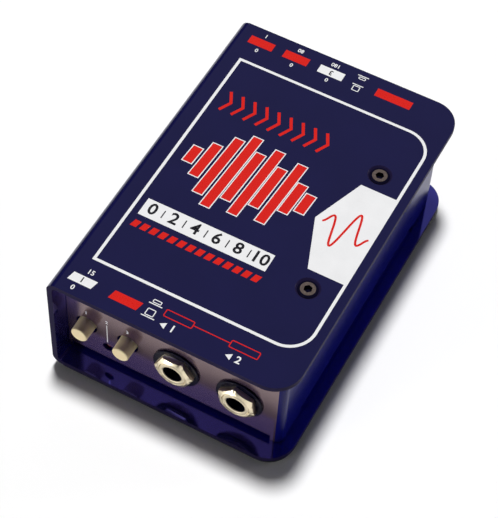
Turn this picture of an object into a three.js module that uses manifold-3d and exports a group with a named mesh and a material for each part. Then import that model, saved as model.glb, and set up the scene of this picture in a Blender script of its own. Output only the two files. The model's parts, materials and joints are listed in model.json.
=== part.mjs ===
// A direct injection box: a folded steel sleeve with overhanging plates, slid over a folded steel
// chassis that carries two jacks, an output connector, five push switches and a circuit board.
// Millimetres, +Z up. The front panel faces -Y, the closed wall of the sleeve is on the -X side,
// and the origin is under the middle of the rubber pad.

import * as THREE from "three";
import { mergeVertices } from "three/addons/utils/BufferGeometryUtils.js";
import Module from "manifold-3d";

const wasm = await Module();
wasm.setup();

// ---------------------------------------------------------------- Driving dimensions

// Front row, from the closed wall of the sleeve to its open edge. Their sum is the box's width.
const WALL_TO_PAD_BUTTON = 9.2;
const PAD_TO_MERGE_BUTTON = 15.1;
const MERGE_BUTTON_TO_INPUT_JACK = 17.85;
const JACK_PITCH = 22.55;
const THRU_JACK_TO_SIDE_WALL = 15.3;
const SIDE_OVERHANG = 4.0;

// Rear row, the switches from the closed wall and the connector from the side wall.
const WALL_TO_GROUND_BUTTON = 11.0;
const REAR_BUTTON_PITCH = 13.3;
const CONNECTOR_TO_SIDE_WALL = 19.0;

// Sleeve
const SHELL_LENGTH = 127;
const SHELL_HEIGHT = 44.1;
const SHELL_SHEET = 1.9;
const SHELL_BEND_RADIUS = 3.5;
const PLATE_CORNER_RADIUS = 9.5;
const END_OVERHANG = 7.2;

// Rubber pad under the sleeve
const PAD_THICKNESS = 1.9;
const PAD_INSET = 0.6;
const PAD_SCREW_HOLE_RADIUS = 5.0;

// Chassis
const CHASSIS_SHEET = 1.6;
const CHASSIS_BEND_RADIUS = 2.8;
const CHASSIS_CLEARANCE = 0.15;
const FLANGE_WIDTH = 16;
const LIP_WIDTH = 13;
const FOLD_RELIEF = 1.2;
const COLLAR_RADIUS = 3.4;
const COLLAR_HEIGHT = 2.4;

// Shell screws, countersunk with a hexagon socket
const SHELL_SCREW_TO_SIDE_WALL = 9.0;
const SHELL_SCREW_PITCH = 51.2;
const SHELL_SCREW_RADIUS = 2.0;
const SHELL_SCREW_HEAD_RADIUS = 3.9;
const SHELL_SCREW_LENGTH = 6;
const SHELL_SCREW_KEY = 2.5;

// Circuit board and its four screws
const BOARD_THICKNESS = 1.6;
const STANDOFF_HEIGHT = 3.25;
const AXIS_ABOVE_BOARD = 9.9;
const BOARD_TO_WALL = 2.6;
const BOARD_TO_SIDE = 1.0;
const BOARD_TO_PANEL = 2.2;
const STANDOFF_FLATS = 5.5;
const STANDOFF_TO_WALL = 6.6;
const STANDOFF_TO_PANEL = 6.5;
const STANDOFF_TO_SIDE = 8.0;
const STANDOFF_MIDDLE_PITCH = 20;
const BOARD_SCREW_RADIUS = 1.5;
const BOARD_SCREW_HEAD_RADIUS = 2.6;
const BOARD_SCREW_HEAD_HEIGHT = 1.8;
const BOARD_SCREW_CROWN = 0.6;
const BOARD_SCREW_CROSS_LENGTH = 3.4;
const BOARD_SCREW_CROSS_WIDTH = 0.6;
const BOARD_SCREW_LENGTH = 4.5;
const LEAD_RADIUS = 0.4;
const LEAD_LENGTH_BELOW = 1.6;

// Jacks for a 6.35 mm plug
const PLUG_BORE_RADIUS = 3.3;
const BUSH_RADIUS = 4.7;
const BUSH_SHOULDER_RADIUS = 6.2;
const BUSH_SHOULDER_DEPTH = 1.2;
const BUSH_TAIL_DEPTH = 4;
const WASHER_RADIUS = 8.2;
const WASHER_THICKNESS = 0.8;
const NUT_FLATS = 12;
const NUT_THICKNESS = 2.4;
const NUT_FACE_RADIUS = 5.2;
const NUT_CHAMFER_ANGLE = 30;
const JACK_BODY_WIDTH = 17;
const JACK_BODY_DEPTH = 27;
const JACK_BODY_RISE = 8.5;
const JACK_BODY_END_WALL = 1.0;
const JACK_BODY_CORNER = 1.0;
const JACK_FOOT_LENGTH = 2.4;
const JACK_FOOT_TO_END = 4.3;
const SLEEVE_SLOT_TO_BUSH = 1.6;
const SLEEVE_SLOT_LENGTH = 6;
const TIP_SLOT_TO_END_WALL = 1.4;
const TIP_SLOT_LENGTH = 9;
const SPRING_WIDTH = 2.4;
const SPRING_THICKNESS = 0.4;
const SPRING_REACH = 0.7;
const SPRING_CONTACT = 1.2;
const SPRING_KICK = 1.4;
const TIP_SPRING_SEAT = 1.6;
const TIP_CONTACT_TO_SLOT_FRONT = 3.2;
const SLEEVE_SPRING_RAMP = 2.2;
const INPUT_NUT_TURN = 4;
const THRU_NUT_TURN = 40;

// Push switches
const BUTTON_SET_BACK = 2.2;
const BUTTON_FACE_RADIUS = 2.95;
const BUTTON_BASE_RADIUS = 3.2;
const BUTTON_EDGE_RADIUS = 0.5;
const BUTTON_LENGTH = 10.8;
const BUTTON_HOLE_RADIUS = 3.9;
const BUTTON_TRAVEL = 3.0;
const BUTTON_SOCKET_DEPTH = 5;
const PLUNGER_SIDE = 3.2;
const PLUNGER_REACH = 8;
const SWITCH_NOSE_SIDE = 6.2;
const SWITCH_NOSE_DEPTH = 2;
const SWITCH_WIDTH = 8.6;
const SWITCH_DEPTH = 20;
const SWITCH_RISE = 8.4;
const SWITCH_LEAD_TO_END = 3;
const SWITCH_LEAD_PITCH = 4.3;
const SWITCH_GROOVE_WIDTH = 0.8;
const SWITCH_GROOVE_DEPTH = 0.4;

// Output connector, male, with a rectangular flange
const FLANGE_PLATE_WIDTH = 26;
const FLANGE_PLATE_HEIGHT = 31;
const FLANGE_PLATE_THICKNESS = 2.0;
const FLANGE_PLATE_CORNER = 3.2;
const CUP_RADIUS = 8.2;
const CUP_DEPTH = 14.6;
const BARREL_RADIUS = 11;
const KEYWAY_WIDTH = 2.6;
const KEYWAY_DEPTH = 1.1;
const CUP_RIM_CHAMFER = 0.6;
const INSERT_THICKNESS = 5;
const BARREL_LIP = 1.5;
const PIN_RADIUS = 1.2;
const PIN_CIRCLE_RADIUS = 4.0;
const PIN_ANGLES = [150, 30, 270];
const PIN_SET_BACK = 1.3;
const PIN_TAIL_GAP = 1.4;
const CONNECTOR_SCREW_ACROSS = 19;
const CONNECTOR_SCREW_UP = 24;
const CONNECTOR_SCREW_RADIUS = 1.5;
const CONNECTOR_SCREW_HEAD_RADIUS = 2.8;
const CONNECTOR_SCREW_LENGTH = 5;
const CONNECTOR_SCREW_KEY = 2.0;

// Indicator lamp
const LED_RADIUS = 1.5;
const LED_RIM_RADIUS = 1.9;
const LED_RIM_DEPTH = 1.0;
const LED_BODY_LENGTH = 4.8;
const LED_HOLE_RADIUS = 1.9;
const LED_SET_BACK = 0.6;
const LED_ABOVE_BOARD = 2.25;
const LED_LEAD_PITCH = 2.54;
const SPACER_WIDTH = 5;
const SPACER_DEPTH = 4.5;
const SPACER_RISE = 2.1;

// Board components, each size with the place of its first one from the middle of the board
const CAN_RADIUS = 5;
const CAN_HEIGHT = 12.5;
const CAN_RIM = 0.6;
const CAN_GROOVE_RISE = 2;
const CAN_PITCH_ACROSS = 13;
const CAN_PITCH_ALONG = 18;
const CAN_LEAD_PITCH = 5;
const CAN_ROW_X = -23.5;
const FILM_LENGTH = 18;
const FILM_WIDTH = 7.5;
const FILM_HEIGHT = 12;
const FILM_CORNER = 0.8;
const FILM_PITCH = 22;
const FILM_LEAD_PITCH = 15;
const AMPLIFIER_LENGTH = 9.8;
const AMPLIFIER_WIDTH = 6.4;
const AMPLIFIER_HEIGHT = 3.4;
const AMPLIFIER_STAND = 0.5;
const AMPLIFIER_DRAFT = 0.4;
const AMPLIFIER_NOTCH_RADIUS = 0.8;
const AMPLIFIER_PITCH = 13.5;
const AMPLIFIER_ROW_X = 2.5;
const AMPLIFIER_LEGS_PER_SIDE = 4;
const AMPLIFIER_LEG_PITCH = 2.54;
const AMPLIFIER_LEG_SPAN = 7.6;
const AMPLIFIER_LEG_WIDTH = 0.6;
const AMPLIFIER_LEG_THICKNESS = 0.3;
const AMPLIFIER_FOOT = 0.9;
const COIL_CORE_RADIUS = 3.2;
const COIL_RIM_RADIUS = 6;
const COIL_HEIGHT = 9;
const COIL_RIM_THICKNESS = 1.5;
const COIL_X = 18;
const COIL_Y = -11;
const COIL_LEAD_PITCH = 8;
const TRANSISTOR_RADIUS = 2.3;
const TRANSISTOR_FLAT = 1.15;
const TRANSISTOR_HEIGHT = 4.8;
const TRANSISTOR_STAND = 2.5;
const TRANSISTOR_PITCH = 7;
const TRANSISTOR_X = 17;
const TRANSISTOR_Y = 9;
const TRANSISTOR_LEAD_PITCH = 1.27;

// Clearances
const SLIDE_GAP = 0.2;
const SCREW_HOLE_GAP = 0.2;
const FIT_GAP = 0.1;
const TURNED_SEAT_GAP = 0.1;
const STROKE_GAP = 0.3;
const OVERCUT = 1;

// Sides of round forms
const LARGE_SIDES = 28;
const MEDIUM_SIDES = 20;
const HIDDEN_SIDES = 12;
const SMALL_SIDES = 10;
const LEAD_SIDES = 4;
const ARC_SEGMENTS = 4;
const PLATE_ARC_SEGMENTS = 8;

// ---------------------------------------------------------------- Sizes that follow

const SHELL_WIDTH =
  WALL_TO_PAD_BUTTON +
  PAD_TO_MERGE_BUTTON +
  MERGE_BUTTON_TO_INPUT_JACK +
  JACK_PITCH +
  THRU_JACK_TO_SIDE_WALL +
  SIDE_OVERHANG;
const SHELL_LEFT = -SHELL_WIDTH / 2;
const SHELL_RIGHT = SHELL_WIDTH / 2;
const SHELL_END = SHELL_LENGTH / 2;
const SHELL_BOTTOM = PAD_THICKNESS;
const SHELL_TOP = SHELL_BOTTOM + SHELL_HEIGHT;
const INNER_BOTTOM = SHELL_BOTTOM + SHELL_SHEET;
const INNER_TOP = SHELL_TOP - SHELL_SHEET;

const PANEL_Y = SHELL_END - END_OVERHANG;
const SIDE_X = SHELL_RIGHT - SIDE_OVERHANG;
const CHASSIS_LEFT = SHELL_LEFT + SHELL_SHEET + CHASSIS_CLEARANCE;
const CHASSIS_BOTTOM = INNER_BOTTOM + CHASSIS_CLEARANCE;
const CHASSIS_TOP = INNER_TOP - CHASSIS_CLEARANCE;
const CHASSIS_FLOOR = CHASSIS_BOTTOM + CHASSIS_SHEET;
const FLANGE_HALF_LENGTH = PANEL_Y - LIP_WIDTH - FOLD_RELIEF;

const BOARD_BOTTOM = CHASSIS_FLOOR + STANDOFF_HEIGHT;
const BOARD_TOP = BOARD_BOTTOM + BOARD_THICKNESS;
const AXIS_Z = BOARD_TOP + AXIS_ABOVE_BOARD;
const CONNECTOR_Z = (INNER_BOTTOM + INNER_TOP) / 2;
const BOARD_LEFT = SHELL_LEFT + SHELL_SHEET + BOARD_TO_WALL;
const BOARD_RIGHT = SIDE_X - CHASSIS_SHEET - BOARD_TO_SIDE;
const BOARD_END = PANEL_Y - CHASSIS_SHEET - BOARD_TO_PANEL;
const BOARD_MIDDLE_X = (BOARD_LEFT + BOARD_RIGHT) / 2;
const LEAD_END = BOARD_BOTTOM - LEAD_LENGTH_BELOW;

const PAD_BUTTON_X = SHELL_LEFT + WALL_TO_PAD_BUTTON;
const MERGE_BUTTON_X = PAD_BUTTON_X + PAD_TO_MERGE_BUTTON;
const LED_X = (PAD_BUTTON_X + MERGE_BUTTON_X) / 2;
const INPUT_JACK_X = MERGE_BUTTON_X + MERGE_BUTTON_TO_INPUT_JACK;
const THRU_JACK_X = INPUT_JACK_X + JACK_PITCH;
const GROUND_BUTTON_X = SHELL_LEFT + WALL_TO_GROUND_BUTTON;
const LOW_CUT_BUTTON_X = GROUND_BUTTON_X + REAR_BUTTON_PITCH;
const POLARITY_BUTTON_X = LOW_CUT_BUTTON_X + REAR_BUTTON_PITCH;
const CONNECTOR_X = SIDE_X - CONNECTOR_TO_SIDE_WALL;

const FRONT_BUTTONS = { pad: PAD_BUTTON_X, merge: MERGE_BUTTON_X };
const REAR_BUTTONS = {
  ground: GROUND_BUTTON_X,
  low_cut: LOW_CUT_BUTTON_X,
  polarity: POLARITY_BUTTON_X,
};

const SHELL_SCREW_X = SIDE_X - SHELL_SCREW_TO_SIDE_WALL;
const SHELL_SCREW_PLACES = { front: -SHELL_SCREW_PITCH / 2, rear: SHELL_SCREW_PITCH / 2 };
const STANDOFF_END_Y = PANEL_Y - CHASSIS_SHEET - STANDOFF_TO_PANEL;
const BOARD_SCREW_PLACES = {
  left_front: [SHELL_LEFT + SHELL_SHEET + STANDOFF_TO_WALL, -STANDOFF_END_Y],
  left_rear: [SHELL_LEFT + SHELL_SHEET + STANDOFF_TO_WALL, STANDOFF_END_Y],
  right_front: [SIDE_X - STANDOFF_TO_SIDE, -STANDOFF_MIDDLE_PITCH / 2],
  right_rear: [SIDE_X - STANDOFF_TO_SIDE, STANDOFF_MIDDLE_PITCH / 2],
};

// Places inside one control, measured inwards from the outer face of its panel.
const BUTTON_PROUD = END_OVERHANG - BUTTON_SET_BACK;
const BUTTON_BACK = BUTTON_LENGTH - BUTTON_PROUD;
const SWITCH_FRONT = BUTTON_BACK + BUTTON_TRAVEL + STROKE_GAP;
const PLUNGER_FRONT = BUTTON_BACK - BUTTON_SOCKET_DEPTH + FIT_GAP;
const PLUNGER_BACK = SWITCH_FRONT + PLUNGER_REACH;
const NUT_FACE = -WASHER_THICKNESS - NUT_THICKNESS;
const JACK_BACK = CHASSIS_SHEET + JACK_BODY_DEPTH;
const CONNECTOR_FACE = -FLANGE_PLATE_THICKNESS - TURNED_SEAT_GAP;
const CUP_FLOOR = CONNECTOR_FACE + CUP_DEPTH;
const BARREL_BACK = CUP_FLOOR + INSERT_THICKNESS + FIT_GAP + BARREL_LIP;
const LED_RIM_FRONT = LED_SET_BACK + LED_BODY_LENGTH - LED_RIM_DEPTH;
const LED_BACK = LED_SET_BACK + LED_BODY_LENGTH;
const SPACER_FRONT = LED_BACK + FIT_GAP;
const SPACER_BACK = SPACER_FRONT + SPACER_DEPTH;

// ---------------------------------------------------------------- Materials

function finish(color, roughness, metalness) {
  return new THREE.MeshStandardMaterial({ color, roughness, metalness });
}

const blueEnamel = finish(0x15144a, 0.28, 0.1);
const blackRubber = finish(0x141414, 0.9, 0);
const blackSteel = finish(0x1c1a1a, 0.4, 0.8);
const brightNickel = finish(0xd9cfb4, 0.25, 0.9);
const springBrass = finish(0xb89a58, 0.4, 0.9);
const tinnedSteel = finish(0xb4b4b2, 0.35, 0.8);
const blackNylon = finish(0x101012, 0.55, 0);
const creamPlastic = finish(0xd8c79a, 0.5, 0);
const whitePlastic = finish(0xe2ded2, 0.6, 0);
const greenBoard = finish(0x1f5a34, 0.5, 0.1);
const redLens = finish(0x7a1414, 0.15, 0);
const blueSleeve = finish(0x20346e, 0.45, 0.1);
const redFilm = finish(0x8e2a22, 0.5, 0);
const greyFerrite = finish(0x3c3b3a, 0.7, 0.1);

// ---------------------------------------------------------------- Joining and cutting

// A closed geometry as a solid, without its normals and without triangles that have no area.
function solidOf(geometry) {
  const bare = geometry.clone();
  bare.deleteAttribute("normal");
  bare.deleteAttribute("uv");
  const merged = mergeVertices(bare, 1e-4);
  const corners = [];
  const index = merged.index.array;
  for (let i = 0; i < index.length; i += 3) {
    const [a, b, c] = [index[i], index[i + 1], index[i + 2]];
    if (a !== b && b !== c && c !== a) corners.push(a, b, c);
  }
  return new wasm.Manifold(
    new wasm.Mesh({
      numProp: 3,
      vertProperties: new Float32Array(merged.attributes.position.array),
      triVerts: new Uint32Array(corners),
    }),
  );
}

function geometryOf(solid) {
  const mesh = solid.getMesh();
  const geometry = new THREE.BufferGeometry();
  const positions = new Float32Array(mesh.vertProperties);
  geometry.setAttribute("position", new THREE.BufferAttribute(positions, 3));
  geometry.setIndex(new THREE.BufferAttribute(new Uint32Array(mesh.triVerts), 1));
  geometry.computeVertexNormals();
  return geometry;
}

function joined(...geometries) {
  return geometryOf(geometries.map(solidOf).reduce((sum, next) => sum.add(next)));
}

function cut(body, ...tools) {
  return geometryOf(tools.map(solidOf).reduce((rest, tool) => rest.subtract(tool), solidOf(body)));
}

function common(first, second) {
  return geometryOf(solidOf(first).intersect(solidOf(second)));
}

// ---------------------------------------------------------------- Basic forms

const X_AXIS = new THREE.Vector3(1, 0, 0);
const Y_AXIS = new THREE.Vector3(0, 1, 0);
const Z_AXIS = new THREE.Vector3(0, 0, 1);

function block(x0, x1, y0, y1, z0, z1) {
  const box = new THREE.BoxGeometry(x1 - x0, y1 - y0, z1 - z0);
  return box.translate((x0 + x1) / 2, (y0 + y1) / 2, (z0 + z1) / 2);
}

function extruded(shape, depth, curveSegments = ARC_SEGMENTS) {
  return new THREE.ExtrudeGeometry(shape, { depth, bevelEnabled: false, curveSegments });
}

// A shape drawn in X and Y, from z0 up to z1.
function alongZ(shape, z0, z1, curveSegments) {
  return extruded(shape, z1 - z0, curveSegments).translate(0, 0, z0);
}

// A shape drawn in X and Z, from y0 back to y1.
function alongY(shape, y0, y1) {
  const turn = new THREE.Matrix4().makeBasis(X_AXIS, Z_AXIS, Y_AXIS.clone().negate());
  return extruded(shape, y1 - y0).applyMatrix4(turn).translate(0, y1, 0);
}

// A shape drawn in Y and Z, from x0 across to x1.
function alongX(shape, x0, x1) {
  const turn = new THREE.Matrix4().makeBasis(Y_AXIS, Z_AXIS, X_AXIS);
  return extruded(shape, x1 - x0).applyMatrix4(turn).translate(x0, 0, 0);
}

// A turned piece about the Y axis. Its profile is a list of [radius, depth], with the depth
// measured along +Y, and it closes by itself.
function turnedIn(profile, sides) {
  const points = profile.map(([radius, depth]) => new THREE.Vector2(radius, depth));
  points.push(points[0].clone());
  return new THREE.LatheGeometry(points, sides);
}

// A turned piece about the Z axis, its profile a list of [radius, height].
function turnedUp(profile, sides) {
  return turnedIn(profile, sides).rotateX(Math.PI / 2);
}

// The part of a profile that rounds off a face at the given depth, out to the full radius.
function roundedFace(radius, edge, depth) {
  const points = [];
  for (let step = 0; step <= ARC_SEGMENTS; step++) {
    const angle = ((step / ARC_SEGMENTS) * Math.PI) / 2;
    points.push([radius - edge + edge * Math.sin(angle), depth + edge - edge * Math.cos(angle)]);
  }
  return points;
}

function rodUp(radius, x, y, z0, z1, sides) {
  const rod = new THREE.CylinderGeometry(radius, radius, z1 - z0, sides).rotateX(Math.PI / 2);
  return rod.translate(x, y, (z0 + z1) / 2);
}

function rodIn(radius, x, z, y0, y1, sides) {
  const rod = new THREE.CylinderGeometry(radius, radius, y1 - y0, sides);
  return rod.translate(x, (y0 + y1) / 2, z);
}

function tubeIn(outer, inner, y0, y1, sides) {
  const bore = rodIn(inner, 0, 0, y0 - OVERCUT, y1 + OVERCUT, sides);
  return cut(rodIn(outer, 0, 0, y0, y1, sides), bore);
}

// A rectangle about the middle of its plane, with one radius for each corner, from low left round.
function roundedRectangle(width, height, radii) {
  const [x, y] = [width / 2, height / 2];
  const [lowLeft, lowRight, highRight, highLeft] = radii;
  const shape = new THREE.Shape();
  shape.moveTo(-x + lowLeft, -y);
  shape.lineTo(x - lowRight, -y);
  if (lowRight) shape.absarc(x - lowRight, -y + lowRight, lowRight, -Math.PI / 2, 0, false);
  shape.lineTo(x, y - highRight);
  if (highRight) shape.absarc(x - highRight, y - highRight, highRight, 0, Math.PI / 2, false);
  shape.lineTo(-x + highLeft, y);
  if (highLeft) shape.absarc(-x + highLeft, y - highLeft, highLeft, Math.PI / 2, Math.PI, false);
  shape.lineTo(-x, -y + lowLeft);
  if (lowLeft) {
    shape.absarc(-x + lowLeft, -y + lowLeft, lowLeft, Math.PI, Math.PI * 1.5, false);
  }
  return shape;
}

function hexagon(flats, turnDegrees) {
  const radius = flats / 2 / Math.cos(Math.PI / 6);
  const shape = new THREE.Shape();
  for (let corner = 0; corner < 6; corner++) {
    const angle = THREE.MathUtils.degToRad(turnDegrees + corner * 60);
    const [x, y] = [radius * Math.cos(angle), radius * Math.sin(angle)];
    if (corner === 0) shape.moveTo(x, y);
    else shape.lineTo(x, y);
  }
  return shape;
}

// The section of a sheet with square folds. The outside line runs through the corners and turns
// left at each of them, and the inside line lies one sheet thickness to its left.
function foldedSheet(corners, radius, thickness) {
  const points = corners.map(([x, y]) => new THREE.Vector2(x, y));
  const directions = [];
  for (let i = 1; i < points.length; i++) {
    directions.push(points[i].clone().sub(points[i - 1]).normalize());
  }
  const leftOf = (direction) => new THREE.Vector2(-direction.y, direction.x);
  const offset = (point, direction) =>
    point.clone().addScaledVector(leftOf(direction), thickness);
  const shape = new THREE.Shape();
  shape.moveTo(points[0].x, points[0].y);
  const bends = [];
  for (let i = 1; i < points.length - 1; i++) {
    const [before, after] = [directions[i - 1], directions[i]];
    const centre = points[i].clone().addScaledVector(before, -radius);
    centre.addScaledVector(after, radius);
    const start = Math.atan2(-leftOf(before).y, -leftOf(before).x);
    bends.push({ centre, start });
    const entry = points[i].clone().addScaledVector(before, -radius);
    shape.lineTo(entry.x, entry.y);
    shape.absarc(centre.x, centre.y, radius, start, start + Math.PI / 2, false);
  }
  const last = points[points.length - 1];
  shape.lineTo(last.x, last.y);
  const insideEnd = offset(last, directions[directions.length - 1]);
  shape.lineTo(insideEnd.x, insideEnd.y);
  for (const { centre, start } of bends.reverse()) {
    const inner = radius - thickness;
    const angle = start + Math.PI / 2;
    shape.lineTo(centre.x + inner * Math.cos(angle), centre.y + inner * Math.sin(angle));
    shape.absarc(centre.x, centre.y, inner, angle, start, true);
  }
  const insideStart = offset(points[0], directions[0]);
  shape.lineTo(insideStart.x, insideStart.y);
  return shape;
}

// A thin strip that follows a line, with mitred corners, its thickness to the left of the line.
function strip(line, thickness) {
  const points = line.map(([x, y]) => new THREE.Vector2(x, y));
  const normals = [];
  for (let i = 1; i < points.length; i++) {
    const along = points[i].clone().sub(points[i - 1]).normalize();
    normals.push(new THREE.Vector2(-along.y, along.x));
  }
  const inner = points.map((point, i) => {
    const before = normals[Math.max(i - 1, 0)];
    const after = normals[Math.min(i, normals.length - 1)];
    const middle = before.clone().add(after).normalize();
    return point.clone().addScaledVector(middle, thickness / middle.dot(after));
  });
  return new THREE.Shape([...points, ...inner.reverse()]);
}

// A countersunk screw that points down -Z from its flat face at z = 0, with a hexagon socket.
function countersunkScrew(radius, headRadius, length, key) {
  const headDepth = headRadius - radius;
  const tip = radius / 4;
  const profile = [
    [0, -length],
    [radius - tip, -length],
    [radius, -length + tip],
    [radius, -headDepth],
    [headRadius, 0],
    [0, 0],
  ];
  const socket = alongZ(hexagon(key, 0), -headDepth, OVERCUT);
  return cut(turnedUp(profile, MEDIUM_SIDES), socket);
}

// The hole for such a screw in a plate whose outer face is at z = 0, its cone clear of the head.
function countersunkHole(radius, headRadius, plate) {
  const profile = [
    [0, -plate - OVERCUT],
    [radius, -plate - OVERCUT],
    [radius, -(headRadius - radius)],
    [headRadius, 0],
    [headRadius, OVERCUT],
    [0, OVERCUT],
  ];
  return turnedUp(profile, MEDIUM_SIDES);
}

// ---------------------------------------------------------------- The scene

const box = new THREE.Group();

function addMesh(parent, name, geometry, material) {
  const mesh = new THREE.Mesh(geometry, material);
  mesh.name = name;
  parent.add(mesh);
  return mesh;
}

// Where the leads go through the board, in the box's own frame.
const leadPlaces = [];

function noteLeads(group, places) {
  group.updateMatrix();
  for (const [x, y] of places) {
    leadPlaces.push(new THREE.Vector3(x, y, 0).applyMatrix4(group.matrix));
  }
}

// A control's own frame: its origin is on the outer face of the panel, with +Y going inwards.
function controlGroup(x, z, rear) {
  const group = new THREE.Group();
  group.position.set(x, rear ? PANEL_Y : -PANEL_Y, z);
  group.rotation.z = rear ? Math.PI : 0;
  box.add(group);
  return group;
}

// ---------------------------------------------------------------- Sleeve, pad and shell screws

const PLATE_CORNERS = [0, PLATE_CORNER_RADIUS, PLATE_CORNER_RADIUS, 0];

function makeOuterShell() {
  const section = foldedSheet(
    [
      [SHELL_RIGHT, SHELL_TOP],
      [SHELL_LEFT, SHELL_TOP],
      [SHELL_LEFT, SHELL_BOTTOM],
      [SHELL_RIGHT, SHELL_BOTTOM],
    ],
    SHELL_BEND_RADIUS,
    SHELL_SHEET,
  );
  const outline = roundedRectangle(SHELL_WIDTH, SHELL_LENGTH, PLATE_CORNERS);
  const sleeve = common(
    alongY(section, -SHELL_END, SHELL_END),
    alongZ(outline, SHELL_BOTTOM - OVERCUT, SHELL_TOP + OVERCUT, PLATE_ARC_SEGMENTS),
  );
  const radius = SHELL_SCREW_RADIUS + SCREW_HOLE_GAP;
  const headRadius = SHELL_SCREW_HEAD_RADIUS + SCREW_HOLE_GAP;
  const holes = [];
  for (const y of Object.values(SHELL_SCREW_PLACES)) {
    const hole = countersunkHole(radius, headRadius, SHELL_SHEET);
    holes.push(hole.clone().translate(SHELL_SCREW_X, y, SHELL_TOP));
    holes.push(hole.rotateX(Math.PI).translate(SHELL_SCREW_X, y, SHELL_BOTTOM));
  }
  return cut(sleeve, ...holes);
}

function makePad() {
  const radius = PLATE_CORNER_RADIUS - PAD_INSET;
  const outline = roundedRectangle(
    SHELL_WIDTH - 2 * PAD_INSET,
    SHELL_LENGTH - 2 * PAD_INSET,
    [SHELL_BEND_RADIUS, radius, radius, SHELL_BEND_RADIUS],
  );
  const holes = Object.values(SHELL_SCREW_PLACES).map((y) => {
    const [z0, z1] = [-OVERCUT, PAD_THICKNESS + OVERCUT];
    return rodUp(PAD_SCREW_HOLE_RADIUS, SHELL_SCREW_X, y, z0, z1, MEDIUM_SIDES);
  });
  return cut(alongZ(outline, 0, PAD_THICKNESS, PLATE_ARC_SEGMENTS), ...holes);
}

function addShellScrews() {
  for (const [place, y] of Object.entries(SHELL_SCREW_PLACES)) {
    const screw = countersunkScrew(
      SHELL_SCREW_RADIUS,
      SHELL_SCREW_HEAD_RADIUS,
      SHELL_SCREW_LENGTH,
      SHELL_SCREW_KEY,
    );
    const top = addMesh(box, `top_screw_${place}`, screw, blackSteel);
    top.position.set(SHELL_SCREW_X, y, SHELL_TOP);
    const bottom = addMesh(box, `bottom_screw_${place}`, screw, blackSteel);
    bottom.position.set(SHELL_SCREW_X, y, SHELL_BOTTOM);
    bottom.rotation.x = Math.PI;
  }
}

// ---------------------------------------------------------------- Chassis

// The front panel, side wall and rear panel, one sheet folded round two upright corners.
function chassisWalls() {
  const section = foldedSheet(
    [
      [CHASSIS_LEFT, -PANEL_Y],
      [SIDE_X, -PANEL_Y],
      [SIDE_X, PANEL_Y],
      [CHASSIS_LEFT, PANEL_Y],
    ],
    CHASSIS_BEND_RADIUS,
    CHASSIS_SHEET,
  );
  return alongZ(section, CHASSIS_BOTTOM, CHASSIS_TOP);
}

// The middle of the side wall with the flanges that take the shell screws.
function sideFlanges() {
  const edge = SIDE_X - FLANGE_WIDTH;
  const section = foldedSheet(
    [
      [edge, CHASSIS_BOTTOM],
      [SIDE_X, CHASSIS_BOTTOM],
      [SIDE_X, CHASSIS_TOP],
      [edge, CHASSIS_TOP],
    ],
    CHASSIS_BEND_RADIUS,
    CHASSIS_SHEET,
  );
  return alongY(section, -FLANGE_HALF_LENGTH, FLANGE_HALF_LENGTH);
}

const LIP_LEFT = CHASSIS_LEFT + FOLD_RELIEF;
const LIP_RIGHT = SIDE_X - CHASSIS_BEND_RADIUS - FOLD_RELIEF;
const LIP_FOLD_TOP = CHASSIS_BOTTOM + CHASSIS_BEND_RADIUS + FOLD_RELIEF;

// The foot of the front panel, folded in to carry the board.
function panelLip() {
  const section = foldedSheet(
    [
      [-PANEL_Y, LIP_FOLD_TOP],
      [-PANEL_Y, CHASSIS_BOTTOM],
      [-PANEL_Y + LIP_WIDTH, CHASSIS_BOTTOM],
    ],
    CHASSIS_BEND_RADIUS,
    CHASSIS_SHEET,
  );
  return alongX(section, LIP_LEFT, LIP_RIGHT);
}

// What comes out of the plain walls before the folded pieces go in.
function foldNotches() {
  const inside = SIDE_X - CHASSIS_SHEET - FIT_GAP;
  const length = FLANGE_HALF_LENGTH;
  const [low, high] = [CHASSIS_BOTTOM - OVERCUT, CHASSIS_TOP + OVERCUT];
  const side = block(inside, SIDE_X + OVERCUT, -length, length, low, high);
  const panel = -PANEL_Y + CHASSIS_SHEET + FIT_GAP;
  const foot = block(LIP_LEFT, LIP_RIGHT, -PANEL_Y - OVERCUT, panel, low, LIP_FOLD_TOP);
  return [side, foot, foot.clone().rotateZ(Math.PI).translate(LIP_LEFT + LIP_RIGHT, 0, 0)];
}

function chassisBosses() {
  const bosses = [];
  for (const y of Object.values(SHELL_SCREW_PLACES)) {
    const top = CHASSIS_TOP - CHASSIS_SHEET;
    const floor = CHASSIS_FLOOR;
    const height = COLLAR_HEIGHT;
    bosses.push(rodUp(COLLAR_RADIUS, SHELL_SCREW_X, y, floor, floor + height, HIDDEN_SIDES));
    bosses.push(rodUp(COLLAR_RADIUS, SHELL_SCREW_X, y, top - height, top, HIDDEN_SIDES));
  }
  for (const [x, y] of Object.values(BOARD_SCREW_PLACES)) {
    const standoff = alongZ(hexagon(STANDOFF_FLATS, 0), CHASSIS_FLOOR, BOARD_BOTTOM);
    bosses.push(standoff.translate(x, y, 0));
  }
  return bosses;
}

// Holes through one panel for its controls. The rear panel's are drawn facing front, then turned.
function panelHole(radius, x, z, rear, sides) {
  const y0 = (rear ? PANEL_Y : -PANEL_Y) - CHASSIS_SHEET - OVERCUT;
  const y1 = y0 + 2 * (CHASSIS_SHEET + OVERCUT);
  return rodIn(radius, x, z, y0, y1, sides);
}

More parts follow.
